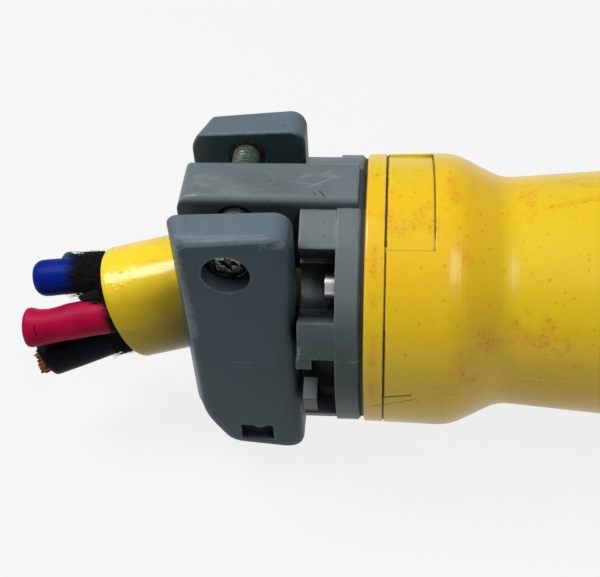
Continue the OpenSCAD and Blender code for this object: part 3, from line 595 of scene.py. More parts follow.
def station(point, way, across, up=None, skew=(0, 0)):
    """Where a ring of a sweep stands: its place, its direction, its two radii, and how far
    its plane leans."""
    turn = Vector(way).to_track_quat("Z", "Y").to_matrix().to_4x4()
    lean = Matrix.Identity(4)
    lean[2][0], lean[2][1] = skew
    size = Matrix.Diagonal((across, across if up is None else up, 1, 1))
    return Matrix.Translation(point) @ turn @ lean @ size


def stations(points, radius, taper=0.0):
    """A ring at each point of a line, which may grow thinner by a share of its radius."""
    last = len(points) - 1
    return [station(point, way, radius * (1 - taper * i / last))
            for i, (point, way) in enumerate(zip(points, ways(points)))]


def straight(places, radius):
    """Rings on the cable's axis, in the plug and in the clamp."""
    return [station((x, 0, 0), (-1, 0, 0), radius) for x in places]


def sweep(rings, sides, place=CABLE_PLACE, closed=True):
    """A skin over a row of rings, with its two ends closed or open."""
    part = bmesh.new()
    bmesh.ops.create_circle(part, segments=sides, radius=1, cap_ends=False)
    bmesh.ops.transform(part, matrix=rings[0], verts=part.verts)
    first = edges = part.edges[:]
    for before, after in zip(rings, rings[1:]):
        grown = bmesh.ops.extrude_edge_only(part, edges=edges)["geom"]
        verts = verts_of(grown)
        bmesh.ops.transform(part, matrix=after @ before.inverted(), verts=verts)
        fresh = set(verts)
        edges = [item for item in grown if isinstance(item, bmesh.types.BMEdge)
                 and fresh.issuperset(item.verts)]
    if closed:
        for rim in (first, edges):
            bmesh.ops.holes_fill(part, edges=rim, sides=0)
    bmesh.ops.recalc_face_normals(part, faces=part.faces)
    bmesh.ops.transform(part, matrix=place, verts=part.verts)
    return part


# ---- the cable's lines, in millimetres in the cable's own frame ----

SAG_X, SAG_R = 52, 30               # where the sag starts, and the radius of its centre line
CUT_LEAN = (0.18, -0.11)            # slopes of the saw cut to the side and up
BLUE, RED, BLACK, GREEN = 112, 202, 292, 22     # places round the cable, in degrees
WIRE_OFFSET = 9.55                  # from the cable's axis to that of a conductor
# Inside the plug the conductors turn and fan out from one station to their terminals
FAN_FROM, TERMINAL, PIN_CIRCLE, BLUE_PIN, FAN_STEPS = 17, 109, 48, 135, 8


class Route:
    """A line in the cable, at y and z off its axis."""

    def __init__(self, cable, y=0.0, z=0.0):
        self.y, self.z = y, z
        self.sag, self.stub = cable.sag, cable.stub / MM
        self.way = Vector((-cos(self.sag), 0, -sin(self.sag)))

    def bend(self, turn):
        """A point in the sag, by the angle turned so far."""
        reach = SAG_R + self.z
        return Vector((-SAG_X - reach * sin(turn), self.y, -SAG_R + reach * cos(turn)))

    def past(self, run):
        """A point that lies a run past the end of the sag."""
        return self.bend(self.sag) + self.way * run

    def curve(self, steps=5):
        return [self.bend(self.sag * i / steps) for i in range(steps + 1)]
# Tail of each conductor: its angle in the cable, then the points its centre line passes
# beyond the cut, as (station, height, depth towards the front) from the cut's middle
CONDUCTORS = {
    "blue": (BLUE, ((-8.3, 9.7, 5.5), (-14.8, 9.2, 5.5), (-20.6, 8.8, 5.4), (-26.2, 8.2, 5.2),
                    (-32.6, 7.6, 5.0))),
    "red": (RED, ((-6.0, -4.8, 8.6), (-12.3, -5.9, 8.4), (-19.4, -7.4, 8.5), (-24.7, -8.7, 8.7),
                  (-29.4, -9.5, 9.0), (-34.8, -9.8, 9.0))),
    "black": (BLACK, ((-5.0, -11.6, -5.5), (-12.4, -14.6, -5.5), (-21.5, -18.2, -5.0),
                      (-27.0, -20.2, -4.8), (-31.8, -21.8, -4.5))),
    "green": (GREEN, ((-7.2, 5.0, -8.4), (-14.2, 8.0, -7.9), (-21.2, 9.7, -7.8),
                      (-27.4, 11.5, -7.8))),
}


def smooth_line(points, steps):
    """A curve through points, with the given number of steps to each span."""
    rows = [points[0] * 2 - points[1], *points, points[-1] * 2 - points[-2]]
    line = [points[0]]
    for a, b, c, d in zip(rows, rows[1:], rows[2:], rows[3:]):
        for i in range(1, steps + 1):
            t = i / steps
            line.append(0.5 * (b * 2 + (c - a) * t + (a * 2 - b * 5 + c * 4 - d) * t * t
                               + (b * 3 - a - c * 3 + d) * t ** 3))
    return line


def wire_route(cable, name):
    """The line of a conductor inside the jacket."""
    angle = radians(CONDUCTORS[name][0])
    return Route(cable, WIRE_OFFSET * cos(angle), WIRE_OFFSET * sin(angle))


def tail_points(cable, name):
    """Centre line of a conductor from the cut to its tip."""
    route, axis = wire_route(cable, name), Route(cable)
    middle = axis.past(axis.stub)
    passes = [middle + Vector((x, -depth, height)) for x, height, depth in CONDUCTORS[name][1]]
    return smooth_line([route.past(route.stub), *passes], 3)


def conductor_points(cable, name):
    """Centre line of a conductor from its terminal to the tip of its tail."""
    fan = []
    for i in range(FAN_STEPS + 1):
        t = i / FAN_STEPS
        ease = t * t * (3 - 2 * t)
        radius = PIN_CIRCLE / 2 + (WIRE_OFFSET - PIN_CIRCLE / 2) * ease
        turn = radians(CONDUCTORS[name][0] + (BLUE_PIN - BLUE) * (1 - ease))
        fan.append(Vector((TERMINAL + (FAN_FROM - TERMINAL) * t, radius * cos(turn),
                           radius * sin(turn))))
    route = wire_route(cable, name)
    stub = [route.past(route.stub * share) for share in (0.35, 0.7)]
    return fan + route.curve() + stub + tail_points(cable, name)


def line_length(points):
    return sum((b - a).length for a, b in zip(points, points[1:]))


def along(points, back):
    """The point and direction a distance back from the end of a line."""
    for b, a in zip(points[::-1], points[-2::-1]):
        span = (b - a).length
        if back <= span:
            return b + (a - b) * (back / span), (b - a).normalized()
        back -= span
    return points[0], (points[1] - points[0]).normalized()


def wire_tube(points, radius, bore, tip, lean):
    """Insulation along a route. Each row of the tip is (distance back from the tip, radius
    across, radius up); the tip leans, and its last rows turn into the bore."""
    reach = tip[0][0]
    clear, lip, inside = 1.5, 0.2, 0.8      # gap before the tip, lip's width, bore's share
    rows = [row for row, point in zip(stations(points, radius), points)
            if (points[-1] - point).length > reach + clear]
    for back, across, up in [*tip, (tip[-1][0] + lip, bore, bore), (reach * inside, bore, bore)]:
        point, run = along(points, back)
        rows.append(station(point, run, across, up, (0, lean * (1 - back / reach))))
    return sweep(rows, 32)

# ---- stage ----

FLOOR_SEEN = 0.84                       # brightness of the bare floor, also in reflections
BACK_SEEN, BACK_MIRRORED = 0.88, 0.5    # brightness of the background, and in reflections
SENSOR, FOCAL, FRAME_WIDTH = 36, 1028, 600      # the last two are in pixels
AIM_STATION, EYE_DISTANCE = 7.8, 363    # millimetres, the first from the clamp body's seat


def plain_view(tree, seen, mirrored):
    """How bright the background itself is to the camera, and in a reflection or glass."""
    path = put(tree, "LightPath").outputs
    other = calculate(tree, "MAXIMUM", path["Is Glossy Ray"], path["Is Transmission Ray"])
    return calculate(tree, "MAXIMUM", calculate(tree, "MULTIPLY", path["Is Camera Ray"], seen),
                     calculate(tree, "MULTIPLY", other, mirrored))


def stand(name, data, place, axes):
    """Stands a lamp or a camera at a place, turned to three axes: side, up and back."""
    holder = show(name, data)
    holder.matrix_world = Matrix.Translation(place) @ Matrix(axes).transposed().to_4x4()
    return holder


class SHOREPLUG_OT_stage(bpy.types.Operator):
    """Adds the floor, the soft lamps and the camera"""
    bl_idname = "shoreplug.stage"
    bl_label = "Stage"

    def execute(self, context):
        studio = context.scene.shoreplug_studio
        self.floor(studio)
        self.lamps(studio)
        self.camera(context)
        return {"FINISHED"}

    def floor(self, studio):
        half, gap = 4, 0.0005
        shape = bmesh.new()
        bmesh.ops.create_grid(shape, x_segments=1, y_segments=1, size=half)
        bmesh.ops.translate(shape, verts=shape.verts, vec=(-0.15, 0, CAD_BOX[0][2] - gap))
        mesh = bpy.data.meshes.new("floor")
        shape.to_mesh(mesh)
        shape.free()
        material, tree, shader = start("Floor", Roughness=0.6)
        shader["Base Color"].default_value = (*darker(tuple(studio.floor), 0.5), 1)
        plain = put(tree, "Emission", {"Color": (1, 1, 1), "Strength": 1.0}).outputs[0]
        shown = put(tree, "MixShader", {0: plain_view(tree, FLOOR_SEEN, FLOOR_SEEN),
                                        1: tree.nodes["Principled BSDF"].outputs[0], 2: plain})
        tree.links.new(shown.outputs[0], tree.nodes["Material Output"].inputs["Surface"])
        mesh.materials.append(material)
        show("floor", mesh)

    def lamps(self, studio):
        target = Vector((-0.2, 0, 0))
        for name, place, size, share in (
                ("overhead", (-0.74, 0.08, 1.06), (0.5, 0.44), 1.0),
                ("window", (0.24, -0.5, 1.0), (0.12, 0.55), 0.3)):
            lamp = bpy.data.lights.new(name, "AREA")
            lamp.energy, lamp.shape = studio.lamp * share, "RECTANGLE"
            lamp.size, lamp.size_y = size
            aim = (target - Vector(place)).normalized()
            side = (Vector((1, 0, 0)) - aim * aim.x).normalized()
            stand(name, lamp, place, (side, side.cross(aim), -aim))
        world = bpy.data.worlds.new("Studio")
        world.use_nodes = True
        tree = world.node_tree
        back = tree.nodes["Background"].inputs
        back["Color"].default_value = (1, 1, 1, 1)
        feed(tree, back["Strength"], calculate(
            tree, "MAXIMUM", plain_view(tree, BACK_SEEN, BACK_MIRRORED), studio.sky))
        bpy.context.scene.world = world

    def camera(self, context):
        """Looks down at 45 degrees, a little towards the cable, with a slight roll."""
        yaw, roll, pitch = radians(4.95), atan(0.0196), atan(2.5 / FOCAL)
        high = Vector((0, sqrt(0.5), sqrt(0.5)))
        near = Vector((0, -sqrt(0.5), sqrt(0.5)))
        right = Vector((cos(yaw), 0, 0)) - near * sin(yaw)
        ahead = Vector((-sin(yaw), 0, 0)) - near * cos(yaw)
        ahead, high = (ahead * cos(pitch) - high * sin(pitch),
                       high * cos(pitch) + ahead * sin(pitch))
        side = right * cos(roll) + high * sin(roll)
        top = high * cos(roll) - right * sin(roll)
        lens = bpy.data.cameras.new("camera")
        lens.sensor_width, lens.lens = SENSOR, SENSOR * FOCAL / FRAME_WIDTH
        lens.clip_start = 0.01
        eye = Vector(((AIM_STATION - PLUG_LEN) * MM, 0, 0)) + near * EYE_DISTANCE * MM
        context.scene.camera = stand("camera", lens, eye, (side, top, -ahead))
        context.scene.view_settings.view_transform = "Standard"


# ---- finishes of the solid parts ----

def dress(names, material):
    """Gives nodes of the frame a finish."""
    for name in names:
        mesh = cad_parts[name].data
        mesh.materials.clear()
        mesh.materials.append(material)


class SHOREPLUG_OT_housing(bpy.types.Operator):
    """Finishes the yellow housing"""
    bl_idname = "shoreplug.housing"
    bl_label = "Housing"

    def execute(self, context):
        colours = context.scene.shoreplug_colours
        rim = [((-222, first), (-222, last), 1.5, 0.8, 0.9)
               for first, last in ((60, 50), (42, 38), (26, 14), (3, -5), (-20, -28))]
        # dark in grooves and corners: partly muck, partly painted shade
        dress(["housing"], moulded(
            "Housing", tuple(colours.housing), roughness=0.29, edge=0.0006, wear=0.3,
            worn=tint(248, 222, 110), grime=0.95, soil_and_shade=tint(38, 26, 8), stains=0.6,
            stain=tint(202, 82, 6), scratches=0.12, size=1500, pit=0.00004, shade=0.88,
            specular=0.42, drift=tint(226, 194, 20),
            cut=[((-218.5, -4.2), (-209.8, -2.2), 0.5, 0.5, 0.9),
                 ((-221.8, -11.4), (-207.9, -4.4), 0.28, 0.7, 0.7),
                 ((-218.4, 28), (-218.4, -5), 0.5, 0.5, 0.8),
                 ((-218.4, 125), (-218.4, 61), 0.55, 0.5, 0.95),
                 ((-203.3, 118), (-203.3, 64), 0.32, 0.9, 0.7),
                 ((-218.4, 59.4), (-203.6, 59.4), 0.25, 0.8, 0.35)],
            rubbed=[((-179.4, -1.0), (-150.7, -0.3), 0.3, 0.6, 0.7)],
            stained=rim + [((-187.3, 26), (-184.8, 20), 4.5, 0.7, 1.0),
                           ((-198, 93), (-197, 82), 2.8, 0.7, 1.0),
                           ((-166, 87), (-146, 93), 1.9, 0.7, 1.0),
                           ((-196, 62), (-193, 56), 2.6, 0.8, 0.8)]))
        return {"FINISHED"}


class SHOREPLUG_OT_clamp(bpy.types.Operator):
    """Finishes the grey clamp body and its jaws"""
    bl_idname = "shoreplug.clamp"
    bl_label = "Clamp and jaws"

    def execute(self, context):
        colours = context.scene.shoreplug_colours
        grey = {"roughness": 0.4, "grime": 0.97, "scratches": 0.22, "size": 1300}
        # near-black in pockets and corners: painted shade with some muck; the lighter upper
        # colour is a painted sheen on the top faces
        dress(["clamp_half_upper", "clamp_half_lower"], moulded(
            "Clamp", tuple(colours.clamp), edge=0.0012, wear=0.7, worn=tint(140, 149, 151),
            reach=0.013, soil_and_shade=tint(7, 9, 9), stains=0.1, stain=tint(66, 76, 74),
            upper=tint(99, 111, 114), **grey,
            rubbed=[((-246.7, 0.8, 48.5), (-236.3, 4.3, 48.5), 0.3, 0.6, 0.6),
                    ((-242.9, -3.9, 48.5), (-235.2, 1.3, 48.5), 0.4, 0.6, 0.5),
                    ((-251, -1, 48.5), (-239, -3, 48.5), 0.25, 0.7, 0.5),
                    ((-245, 2.6, 48.5), (-234, 2, 48.5), 1.8, 0.6, 0.28),
                    # painted glint: a small pale spot on the top edge at the left end
                    ((-282.5, -8.6, 48.1), (-279.5, -8.3, 48.2), 0.5, 0.4, 1.0),
                    ((-278, -1, 48.5), (-266, -6, 48.5), 5, 0.2, 0.3),
                    ((-245.6, -43.4, 15), (-245, -44.4, 4), 1.1, 0.7, 0.8)],
            stained=[((-262, 0.4, 48.5), (-251, -4, 48.5), 6, 0.12, 0.9)],
            cut=[((-239.6, -5.8, 48.5), (-238.2, -8, 48.3), 0.35, 0.5, 0.7),
                 ((-241.4, -6.8, 48.4), (-240.8, -7.8, 48.3), 0.3, 0.5, 0.6)]))
        # dark in recesses and corners: painted shade with some muck; the lighter upper colour is
        # a painted sheen on the top faces
        dress(["front_jaw", "back_jaw"], moulded(
            "Jaws", tuple(colours.jaw), edge=0.0014, wear=0.9, worn=tint(132, 142, 146),
            reach=0.01, soil_and_shade=tint(8, 10, 10), stains=0.08, stain=tint(50, 60, 64),
            shade=0.82, upper=tint(92, 108, 119), **grey,
            rubbed=[((-282.2, -34.2, 49), (-280.4, -35.2, 12), 3.0, 0.5, 0.85),
                    ((-283, -31, 50.6), (-249, -34.4, 51), 2.0, 0.8, 0.55),
                    ((-268.8, -35.4, -1.2), (-261.4, -35.4, -0.9), 0.2, 0.4, 0.7),
                    ((-268, -35.4, -3.5), (-262.2, -35.4, -3.3), 0.2, 0.4, 0.7),
                    ((-278.4, -35.4, 22.9), (-277, -35.4, 21), 0.2, 0.4, 0.6)]))
        return {"FINISHED"}


class SHOREPLUG_OT_metalwork(bpy.types.Operator):
    """Finishes screws, inserts, washers and contacts"""
    bl_idname = "shoreplug.metalwork"
    bl_label = "Metalwork"

    def execute(self, context):
        dress(["flange_screws", "gland_washer", "sleeve_screws", "carrier_screws",
               "carrier_bolt", "terminal_screws", "ring_retainer"],
              metal("Stainless", tint(206, 206, 208), 0.24))
        dress(["insert_upper", "insert_lower"],
              metal("Insert", tint(96, 90, 78), 0.45, 0.7, tint(30, 30, 27)))
        dress(["pin_blue", "pin_red", "pin_black", "pin_earth"],
              metal("Contact", tint(214, 184, 112), 0.2))
        return {"FINISHED"}


class SHOREPLUG_OT_front(bpy.types.Operator):
    """Finishes the sleeve, the carriers, the locking ring and the rubber seals"""
    bl_idname = "shoreplug.front"
    bl_label = "Front end"

    def execute(self, context):
        colours = context.scene.shoreplug_colours
        dress(["front_sleeve"], moulded(
            "Sleeve", tuple(colours.sleeve), roughness=0.34, edge=0.0006, wear=0.6,
            worn=tint(96, 130, 190), scratches=0.5, pit=0.00004))
        dress(["contact_carrier", "terminal_carrier"], moulded(
            "Carrier", tint(56, 60, 68), roughness=0.45, edge=0.0005, wear=0.3,
            worn=tint(110, 114, 120), pit=0.00004))
        dress(["locking_ring"], moulded(
            "Locking ring", tuple(colours.ring), roughness=0.5, edge=0.0009, wear=0.7,
            worn=tint(96, 98, 100), scratches=0.5, pit=0.0001))
        dress(["rear_gasket", "cable_grommet", "sleeve_seal", "mating_gasket"],
              rubber("Seal", tint(34, 35, 37)))
        return {"FINISHED"}


# ---- cable ----

class SHOREPLUG_OT_jacket(bpy.types.Operator):
    """Builds the yellow cable jacket with its askew saw cut"""
    bl_idname = "shoreplug.jacket"
    bl_label = "Cable jacket"

    def execute(self, context):
        cable = context.scene.shoreplug_cable
        route = Route(cable)
        radius = cable.jacket_diameter / 2 / MM
        bore = radius - cable.jacket_wall / MM
        in_plug, points = (14, -20, -40), route.curve(8)
        rows = straight(in_plug, radius) + stations(points, radius)[1:]
        cut, run, lean, level = route.past(route.stub), route.way, self.lean(route.way), 20
        lip = [(back, radius - shrink) for back, shrink in (
            (level, 0), (12, 0), (6, 0), (2, 0), (0.7, 0), (0.25, 0.2), (0, 0.7))]
        lip += [(back, bore + grow) for back, grow in (
            (0.05, 0.4), (0.4, 0), (8, 0), (level, 0))]
        for back, across in lip:
            skew = [slope * (1 - back / level) for slope in lean]
            rows.append(station(cut - run * back, run, across, None, skew))
        rows += stations(points, bore)[:0:-1] + straight(in_plug[::-1], bore)
        shape = sweep(rows, 96, closed=False)
        bmesh.ops.bridge_loops(shape, edges=[e for e in shape.edges if e.is_boundary])
        bmesh.ops.recalc_face_normals(shape, faces=shape.faces)
        skin = jacket_skin(tuple(context.scene.shoreplug_colours.jacket))
        finish_piece("jacket_skin", shape, BODY, [skin], "cable_jacket")
        return {"FINISHED"}

    def lean(self, run):
        """How the cut's plane leans, as slopes over a ring's own two directions."""
        turn = run.to_track_quat("Z", "Y").to_matrix()
        slope = Vector((0, *CUT_LEAN))
        return -slope.dot(turn.col[0]), -slope.dot(turn.col[1])


class SHOREPLUG_OT_conductors(bpy.types.Operator):
    """Builds the insulation of the four conductors"""
    bl_idname = "shoreplug.conductors"
    bl_label = "Conductors"

    def execute(self, context):
        cable = context.scene.shoreplug_cable
        colours = context.scene.shoreplug_colours
        radius, bore = cable.wire_diameter / 2 / MM, cable.core_diameter / 2 / MM + 0.1
        # How far each tip leans, and its rows for wire_tube
        tips = {
            "blue": (0.03, [(9, 6.5, 6.5), (4.5, 6.55, 6.6), (2.4, 6.45, 6.5), (1.3, 6.1, 6.1),
                            (0.5, 5.5, 5.5), (0, 4.95, 4.95)]),
            "red": (0.02, [(13, 6.4, 6.2), (9, 6.35, 6.1), (5.5, 6.3, 6.4), (3.2, 6.25, 6.85),
                           (1.8, 6.15, 7.1), (0.8, 5.9, 6.9), (0.25, 5.5, 6.3), (0, 5.1, 5.6)]),
            "black": (0.3, [(8, 6.5, 6.5), (3, 6.5, 6.6), (0.6, 6.4, 6.6), (0, 6.0, 6.2)]),
            "green": (0.1, [(8, 6.5, 6.3), (3, 6.5, 6.5), (1.4, 6.5, 6.8), (0.5, 6.3, 6.5),
                            (0, 5.8, 5.9)]),
        }
        slits = {"red": [((-339.8, -21.9, -0.3), (-339.1, -23.6, -2.6), 0.32, 0.4, 0.95),
                         ((-339.1, -23.6, -2.6), (-338.1, -24.1, -6.1), 0.32, 0.4, 0.95)]}
        bright = {"blue": tint(2, 58, 172), "red": tint(232, 80, 130),
                  "black": tint(50, 64, 76), "green": tint(60, 140, 150)}
        for name, (lean, tip) in tips.items():
            shape = wire_tube(conductor_points(cable, name), radius, bore, tip, lean)
            skin = insulation("Insulation " + name, tuple(getattr(colours, name)), bright[name],
                              slits.get(name, ()))
            finish_piece("insulation_" + name, shape, BODY, [skin],
                         "wire_" + name, 50)
        return {"FINISHED"}


class SHOREPLUG_OT_strands(bpy.types.Operator):
    """Builds the copper strands of the four conductors"""
    bl_idname = "shoreplug.strands"
    bl_label = "Copper strands"

    def execute(self, context):
        cable = context.scene.shoreplug_cable
        copper = metal("Copper", tint(158, 84, 56), 0.4, 0.6, tint(74, 38, 26), 0.0001)
        core = cable.core_diameter / 2 / MM
        inset, join, beyond = 0.3, 8, Vector((20, 0, 0))
        proud = {"blue": -1.0, "red": -1.0, "black": 1.2, "green": 0.5}
        for name in CONDUCTORS:
            points = conductor_points(cable, name)
            way = ways(points)[-1]
            rows = stations([points[0] + beyond] + points, core - inset)[:-3]
            rows.append(station(points[-1] - way * join, way, core - inset))
            shape = sweep(rows, 20)
            self.bundle(shape, points[-1], way, core, proud[name], name == "black")
            finish_piece("strands_" + name, shape, BODY, [copper], "core_" + name)
        return {"FINISHED"}

    def bundle(self, shape, tip, way, core, proud, frayed):
        """Strands laid in rings round one another, cut roughly level."""
        dice = random.Random(len(shape.verts))
        turn = way.to_track_quat("Z", "Y").to_matrix()
        thick, size, lay, rings, steps = 0.31, 9, 0.5, 8, 4
        for ring in range(rings):
            count = max(1, ring * 6)
            for k in range(count):
                angle = 2 * pi * k / count + ring * 0.4
                radius = ring * (core - thick - 0.1) / (rings - 1)
                end = proud + dice.uniform(-0.5, 0.4) + (dice.uniform(0, 1.9) if frayed else 0)
                splay = dice.uniform(0, 0.5) if frayed else 0.03
                points = []
                for i in range(steps + 1):
                    t = i / steps
                    twist = angle + (1 - t) * lay
                    reach = radius * (1 + splay * max(0.0, t - 0.7))
                    side = turn @ Vector((reach * cos(twist), reach * sin(twist), 0))
                    points.append(tip + side + way * (end - size * (1 - t)))
                add(shape, sweep(stations(points, thick), 5))


class SHOREPLUG_OT_filler(bpy.types.Operator):
    """Builds the black filler that fluffs out between the conductors"""
    bl_idname = "shoreplug.filler"
    bl_label = "Cable filler"

    def execute(self, context):
        cable = context.scene.shoreplug_cable
        route = Route(cable)
        end, run, side = route.past(route.stub), route.way, Vector((0, 1, 0))
        up = Vector((-sin(route.sag), 0, cos(route.sag)))
        wire = cable.wire_diameter / 2 / MM
        radius = cable.jacket_diameter / 2 / MM - cable.jacket_wall / MM - 0.2
        rows = straight((13, -30), radius) + stations(route.curve(), radius)[1:]
        for ahead, share in ((-10, 1), (-3, 1), (0.5, 0.99), (3, 0.93), (5, 0.78), (6.2, 0.5)):
            rows.append(station(end + run * ahead, run, radius * share))
        shape = sweep(rows, 48)
        tails = {name: tail_points(cable, name) for name in ("blue", "red", "black")}
        for name, reach, thick in (("blue", 15.2, 1.2), ("black", 10, 1.1), ("red", 3.2, 0.9)):
            add(shape, self.collar(tails[name], reach, wire, thick))
        wedge = smooth_line([end + Vector((x, -depth, height)) for x, height, depth in (
            (3, 3.4, 8.5), (-4, 2.6, 9.6), (-9.5, 1.9, 10.4), (-15.5, 1.0, 10.6))], 3)
        last = len(wedge) - 1
        rows = [station(point, way, 3.5 - 2.8 * (i / last) ** 2)
                for i, (point, way) in enumerate(zip(wedge, ways(wedge)))]
        add(shape, sweep(rows, 24))
        self.roughen(shape)
        self.loose(shape, cable, end, run, side, up, radius)
        for line, thick, count, size, low, high in (
                (tails["blue"], wire, 1900, 17.5, -90, 210),
                (tails["red"], wire, 500, 4, -90, 150),
                (tails["black"], wire, 800, 11, -120, 180),
                (wedge, 2.9, 1000, 13, -180, 180)):
            self.coat(shape, line, thick, count * cable.fibres // FIBRES, size, low, high)
        finish_piece("filler_fibres", shape, BODY, [fibre(tint(8, 9, 10))],
                     "cable_filler")
        return {"FINISHED"}

    def collar(self, line, reach, wire, thick):
        """A lump of fluff round the root of a conductor's tail."""
        total, root, steps = line_length(line), 3, 8
        rows = []
        for i in range(steps + 1):
            t = i / steps
            here, way = along(line, total + root - (reach + root) * t)
            if i == 0:
                here = here - way * root
            rows.append(station(here, way, wire + thick * (1 - t ** 2) - 0.25 * t))
        return sweep(rows, 40, closed=False)

    def roughen(self, shape):
        """Makes the filler lumpy from just inside the cut outwards."""
        inside, size, height = 82, 900, 0.7
        noise.seed_set(4)
        for vert in shape.verts:
            if vert.co.x < (-PLUG_LEN - inside) * MM:
                vert.co += noise.noise_vector(vert.co * size) * height * MM

    def loose(self, shape, cable, end, run, side, up, radius):
        """Fibres that stand out of the cut at random, and a few long ones at its top."""
        dice = random.Random(4)
        for _ in range(cable.fibres):
            angle, reach = dice.uniform(0, 2 * pi), radius * sqrt(dice.uniform(0.02, 1))
            root = (end + side * (reach * cos(angle)) + up * (reach * sin(angle))
                    + run * dice.uniform(-2, 5 - 4 * (reach / radius) ** 2))
            way = (run + side * dice.gauss(0, 0.4) + up * dice.gauss(0.02, 0.3)).normalized()
            curl = (side * dice.gauss(0, 1) + up * dice.gauss(0, 1)) * 0.3
            size = cable.fibre_length / MM * dice.uniform(0.25, 0.9)
            add(shape, self.hair(root, way, curl, size, dice.uniform(0.07, 0.16)))
        for angle, size, rise in (
                (1.75, 6.5, 0.62), (1.9, 5.5, 0.5), (1.6, 5, 0.4), (2.3, 5, 0.3)):
            root = end + up * radius * sin(angle) * 0.98 + side * radius * cos(angle)
            way = (run * 0.78 + up * rise + side * 0.1).normalized()
            add(shape, self.hair(root, way, up * -0.2, size, 0.06))

    def coat(self, shape, line, wire, count, size, low, high):
        """Fibres that lie along the root of a conductor's tail, between two angles round it."""
        dice = random.Random(count)
        total, steps = line_length(line), 4
        for _ in range(count):
            angle = radians(dice.uniform(low, high))
            first = dice.uniform(-1.5, 3.5)
            last = first + size * dice.uniform(0.25, 1.0) ** 1.3
            lift = wire + dice.uniform(0.15, 1.25)
            drift, flare = dice.gauss(0, 0.3), dice.gauss(0.15, 0.5)
            points = []
            for k in range(steps + 1):
                t = k / steps
                run_at = first + (last - first) * t
                here, way = along(line, total - max(0.0, run_at))
                here = here + way * min(0.0, run_at)
                turn = way.to_track_quat("Z", "Y").to_matrix()
                turned = angle + drift * t * 2
                out = lift + flare * t * t + 0.25 * sin(5 * t + angle * 7)
                points.append(here + turn @ Vector((out * cos(turned), out * sin(turned), 0)))
            add(shape, sweep(stations(points, 0.17, 0.7), 3))

    def hair(self, root, way, curl, size, thick):
        points = [root + way * size * t + curl * size * t * t for t in (0, 0.35, 0.7, 1)]
        return sweep(stations(points, thick, 0.75), 3)


# ---- clamp screws ----

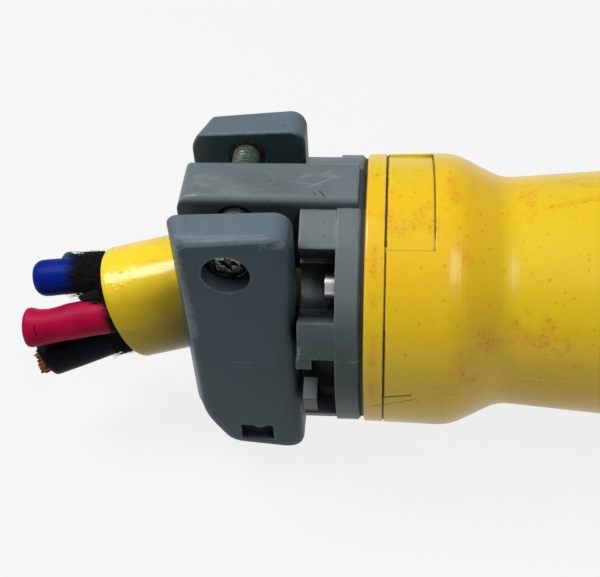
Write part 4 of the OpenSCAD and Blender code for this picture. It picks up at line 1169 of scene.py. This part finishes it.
class SHOREPLUG_OT_threads(bpy.types.Operator):
    """Builds the two clamp screws with their threads and cross recesses"""
    bl_idname = "shoreplug.threads"
    bl_label = "Clamp screws"

    def execute(self, context):
        screws = context.scene.shoreplug_screws
        shank = metal("Weathered thread", tint(150, 154, 146), 0.45, 0.75, tint(84, 100, 84))
        # the head's dark patches are partly painted shade of its deep counterbore, partly
        # weathering
        head = metal("Dark head", tint(132, 130, 124), 0.24, 0.3, tint(22, 22, 20))
        for name, turn in (("upper", 0), ("lower", pi)):
            node = "clamp_screw_" + name
            low, high = (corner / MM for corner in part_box(node))
            outer, inner = (high.y, low.y) if turn else (low.y, high.y)
            shape = self.screw(screws, abs(inner - outer))
            seat = Vector(((low.x + high.x) / 2, outer, (low.z + high.z) / 2)) * MM
            place = (Matrix.Translation(seat) @ Matrix.Rotation(turn, 4, "Z")
                     @ Matrix.Rotation(radians(-90), 4, "X") @ Matrix.Scale(MM, 4))
            bmesh.ops.transform(shape, matrix=place, verts=shape.verts)
            piece = finish_piece("screw_" + name, shape, node, [shank, head],
                                 node, 40)
            for face in piece.data.polygons:
                depth = abs(face.center.y / MM - outer)
                face.material_index = 1 if depth < screws.head_height / MM + 0.05 else 0
        return {"FINISHED"}

    def screw(self, sizes, total):
        """A screw along Z with the top of its head at zero."""
        major, pitch = sizes.diameter / 2 / MM, sizes.pitch / MM
        minor, height = major - 0.6 * pitch, sizes.head_height / MM
        shape = self.head(sizes.head_diameter / 2 / MM, height)
        turns, steps = int((total - height) / pitch) - 1, 20
        first = height - 0.4 * pitch
        profile = [(minor, 0), (minor, 0.12), (major, 0.44), (major, 0.62), (minor, 0.94),
                   (minor, 1)]
        part = bmesh.new()
        verts = [part.verts.new((r, 0, first + z * pitch)) for r, z in profile]
        edges = [part.edges.new(pair) for pair in zip(verts, verts[1:])]
        bmesh.ops.spin(part, geom=verts + edges, cent=(0, 0, 0), axis=(0, 0, 1),
                       dvec=(0, 0, pitch / steps), angle=2 * pi * turns, steps=steps * turns)
        bmesh.ops.remove_doubles(part, verts=part.verts, dist=0.002)
        bmesh.ops.recalc_face_normals(part, faces=part.faces)
        add(shape, part)
        core = [(height - 0.5, minor - 0.02), (first + pitch * (turns + 0.5), minor - 0.02),
                (total - 1, minor - 0.05), (total, minor - 0.9)]
        add(shape, sweep([station((0, 0, z), (0, 0, 1), r) for z, r in core], 28,
                         Matrix.Identity(4)))
        return shape

    def head(self, radius, height):
        """A low domed head whose top has a cross recess; it faces -Z."""
        arm, slot, depth = radius * 0.52, radius * 0.15, 1.6
        cells, crown, edge_drop, under = 13, 0.93, 0.35, 0.9
        part = bmesh.new()
        bmesh.ops.create_grid(part, x_segments=cells, y_segments=cells, size=radius * 0.62)
        rim = [edge for edge in part.edges if edge.is_boundary]
        ring = bmesh.ops.create_circle(part, segments=4 * cells, radius=radius * crown,
                                       cap_ends=False)["verts"]
        circle = list({edge for vert in ring for edge in vert.link_edges})
        bmesh.ops.bridge_loops(part, edges=rim + circle)
        for vert in part.verts:
            vert.co.z = 0.5 * (vert.co.xy.length / radius) ** 2
        inside = []
        for face in part.faces:
            near, far = sorted(abs(c) for c in face.calc_center_median().xy)
            if near < slot and far < arm:
                inside.append(face)
        moved = verts_of(bmesh.ops.extrude_face_region(part, geom=inside)["geom"])
        bmesh.ops.translate(part, verts=moved, vec=(0, 0, depth))
        bmesh.ops.scale(part, verts=moved, vec=(0.86, 0.86, 1))
        bmesh.ops.delete(part, geom=inside, context="FACES_ONLY")
        for grow, down in ((1 / crown, edge_drop), (1, height - under)):
            edges = [edge for edge in part.edges if edge.is_boundary]
            verts = verts_of(bmesh.ops.extrude_edge_only(part, edges=edges)["geom"])
            bmesh.ops.scale(part, verts=verts, vec=(grow, grow, 1))
            bmesh.ops.translate(part, verts=verts, vec=(0, 0, down))
        bmesh.ops.holes_fill(part, edges=[edge for edge in part.edges if edge.is_boundary],
                             sides=0)
        bmesh.ops.recalc_face_normals(part, faces=part.faces)
        return part


class SHOREPLUG_PT_panel(bpy.types.Panel):
    """Lists the sizes, the colours and the pieces"""
    bl_label = "Shore power cord"
    bl_idname = "SHOREPLUG_PT_panel"
    bl_space_type = "VIEW_3D"
    bl_region_type = "UI"
    bl_category = "Shore power"

    def draw(self, context):
        column = self.layout.column()
        for group in ("cable", "screws", "colours", "studio"):
            values = getattr(context.scene, "shoreplug_" + group)
            column.label(text=group.capitalize())
            for key in values.__annotations__:
                column.prop(values, key)
        column.label(text="Pieces")
        for operator in OPERATORS:
            column.operator(operator.bl_idname)


GROUPS = {"cable": CableSizes, "screws": ScrewSizes, "colours": Colours, "studio": Studio}
OPERATORS = [SHOREPLUG_OT_stage, SHOREPLUG_OT_housing, SHOREPLUG_OT_clamp,
             SHOREPLUG_OT_metalwork, SHOREPLUG_OT_front, SHOREPLUG_OT_jacket,
             SHOREPLUG_OT_conductors, SHOREPLUG_OT_strands, SHOREPLUG_OT_filler,
             SHOREPLUG_OT_threads]


def register():
    for item in [*GROUPS.values(), *OPERATORS, SHOREPLUG_PT_panel]:
        bpy.utils.register_class(item)
    for name, group in GROUPS.items():
        setattr(bpy.types.Scene, "shoreplug_" + name, PointerProperty(type=group))


def unregister():
    for name in GROUPS:
        delattr(bpy.types.Scene, "shoreplug_" + name)
    for item in [SHOREPLUG_PT_panel, *reversed(OPERATORS), *GROUPS.values()]:
        bpy.utils.unregister_class(item)


def main():
    register()
    for operator in OPERATORS:
        family, name = operator.bl_idname.split(".")
        getattr(getattr(bpy.ops, family), name)()


if __name__ == "__main__":
    main()
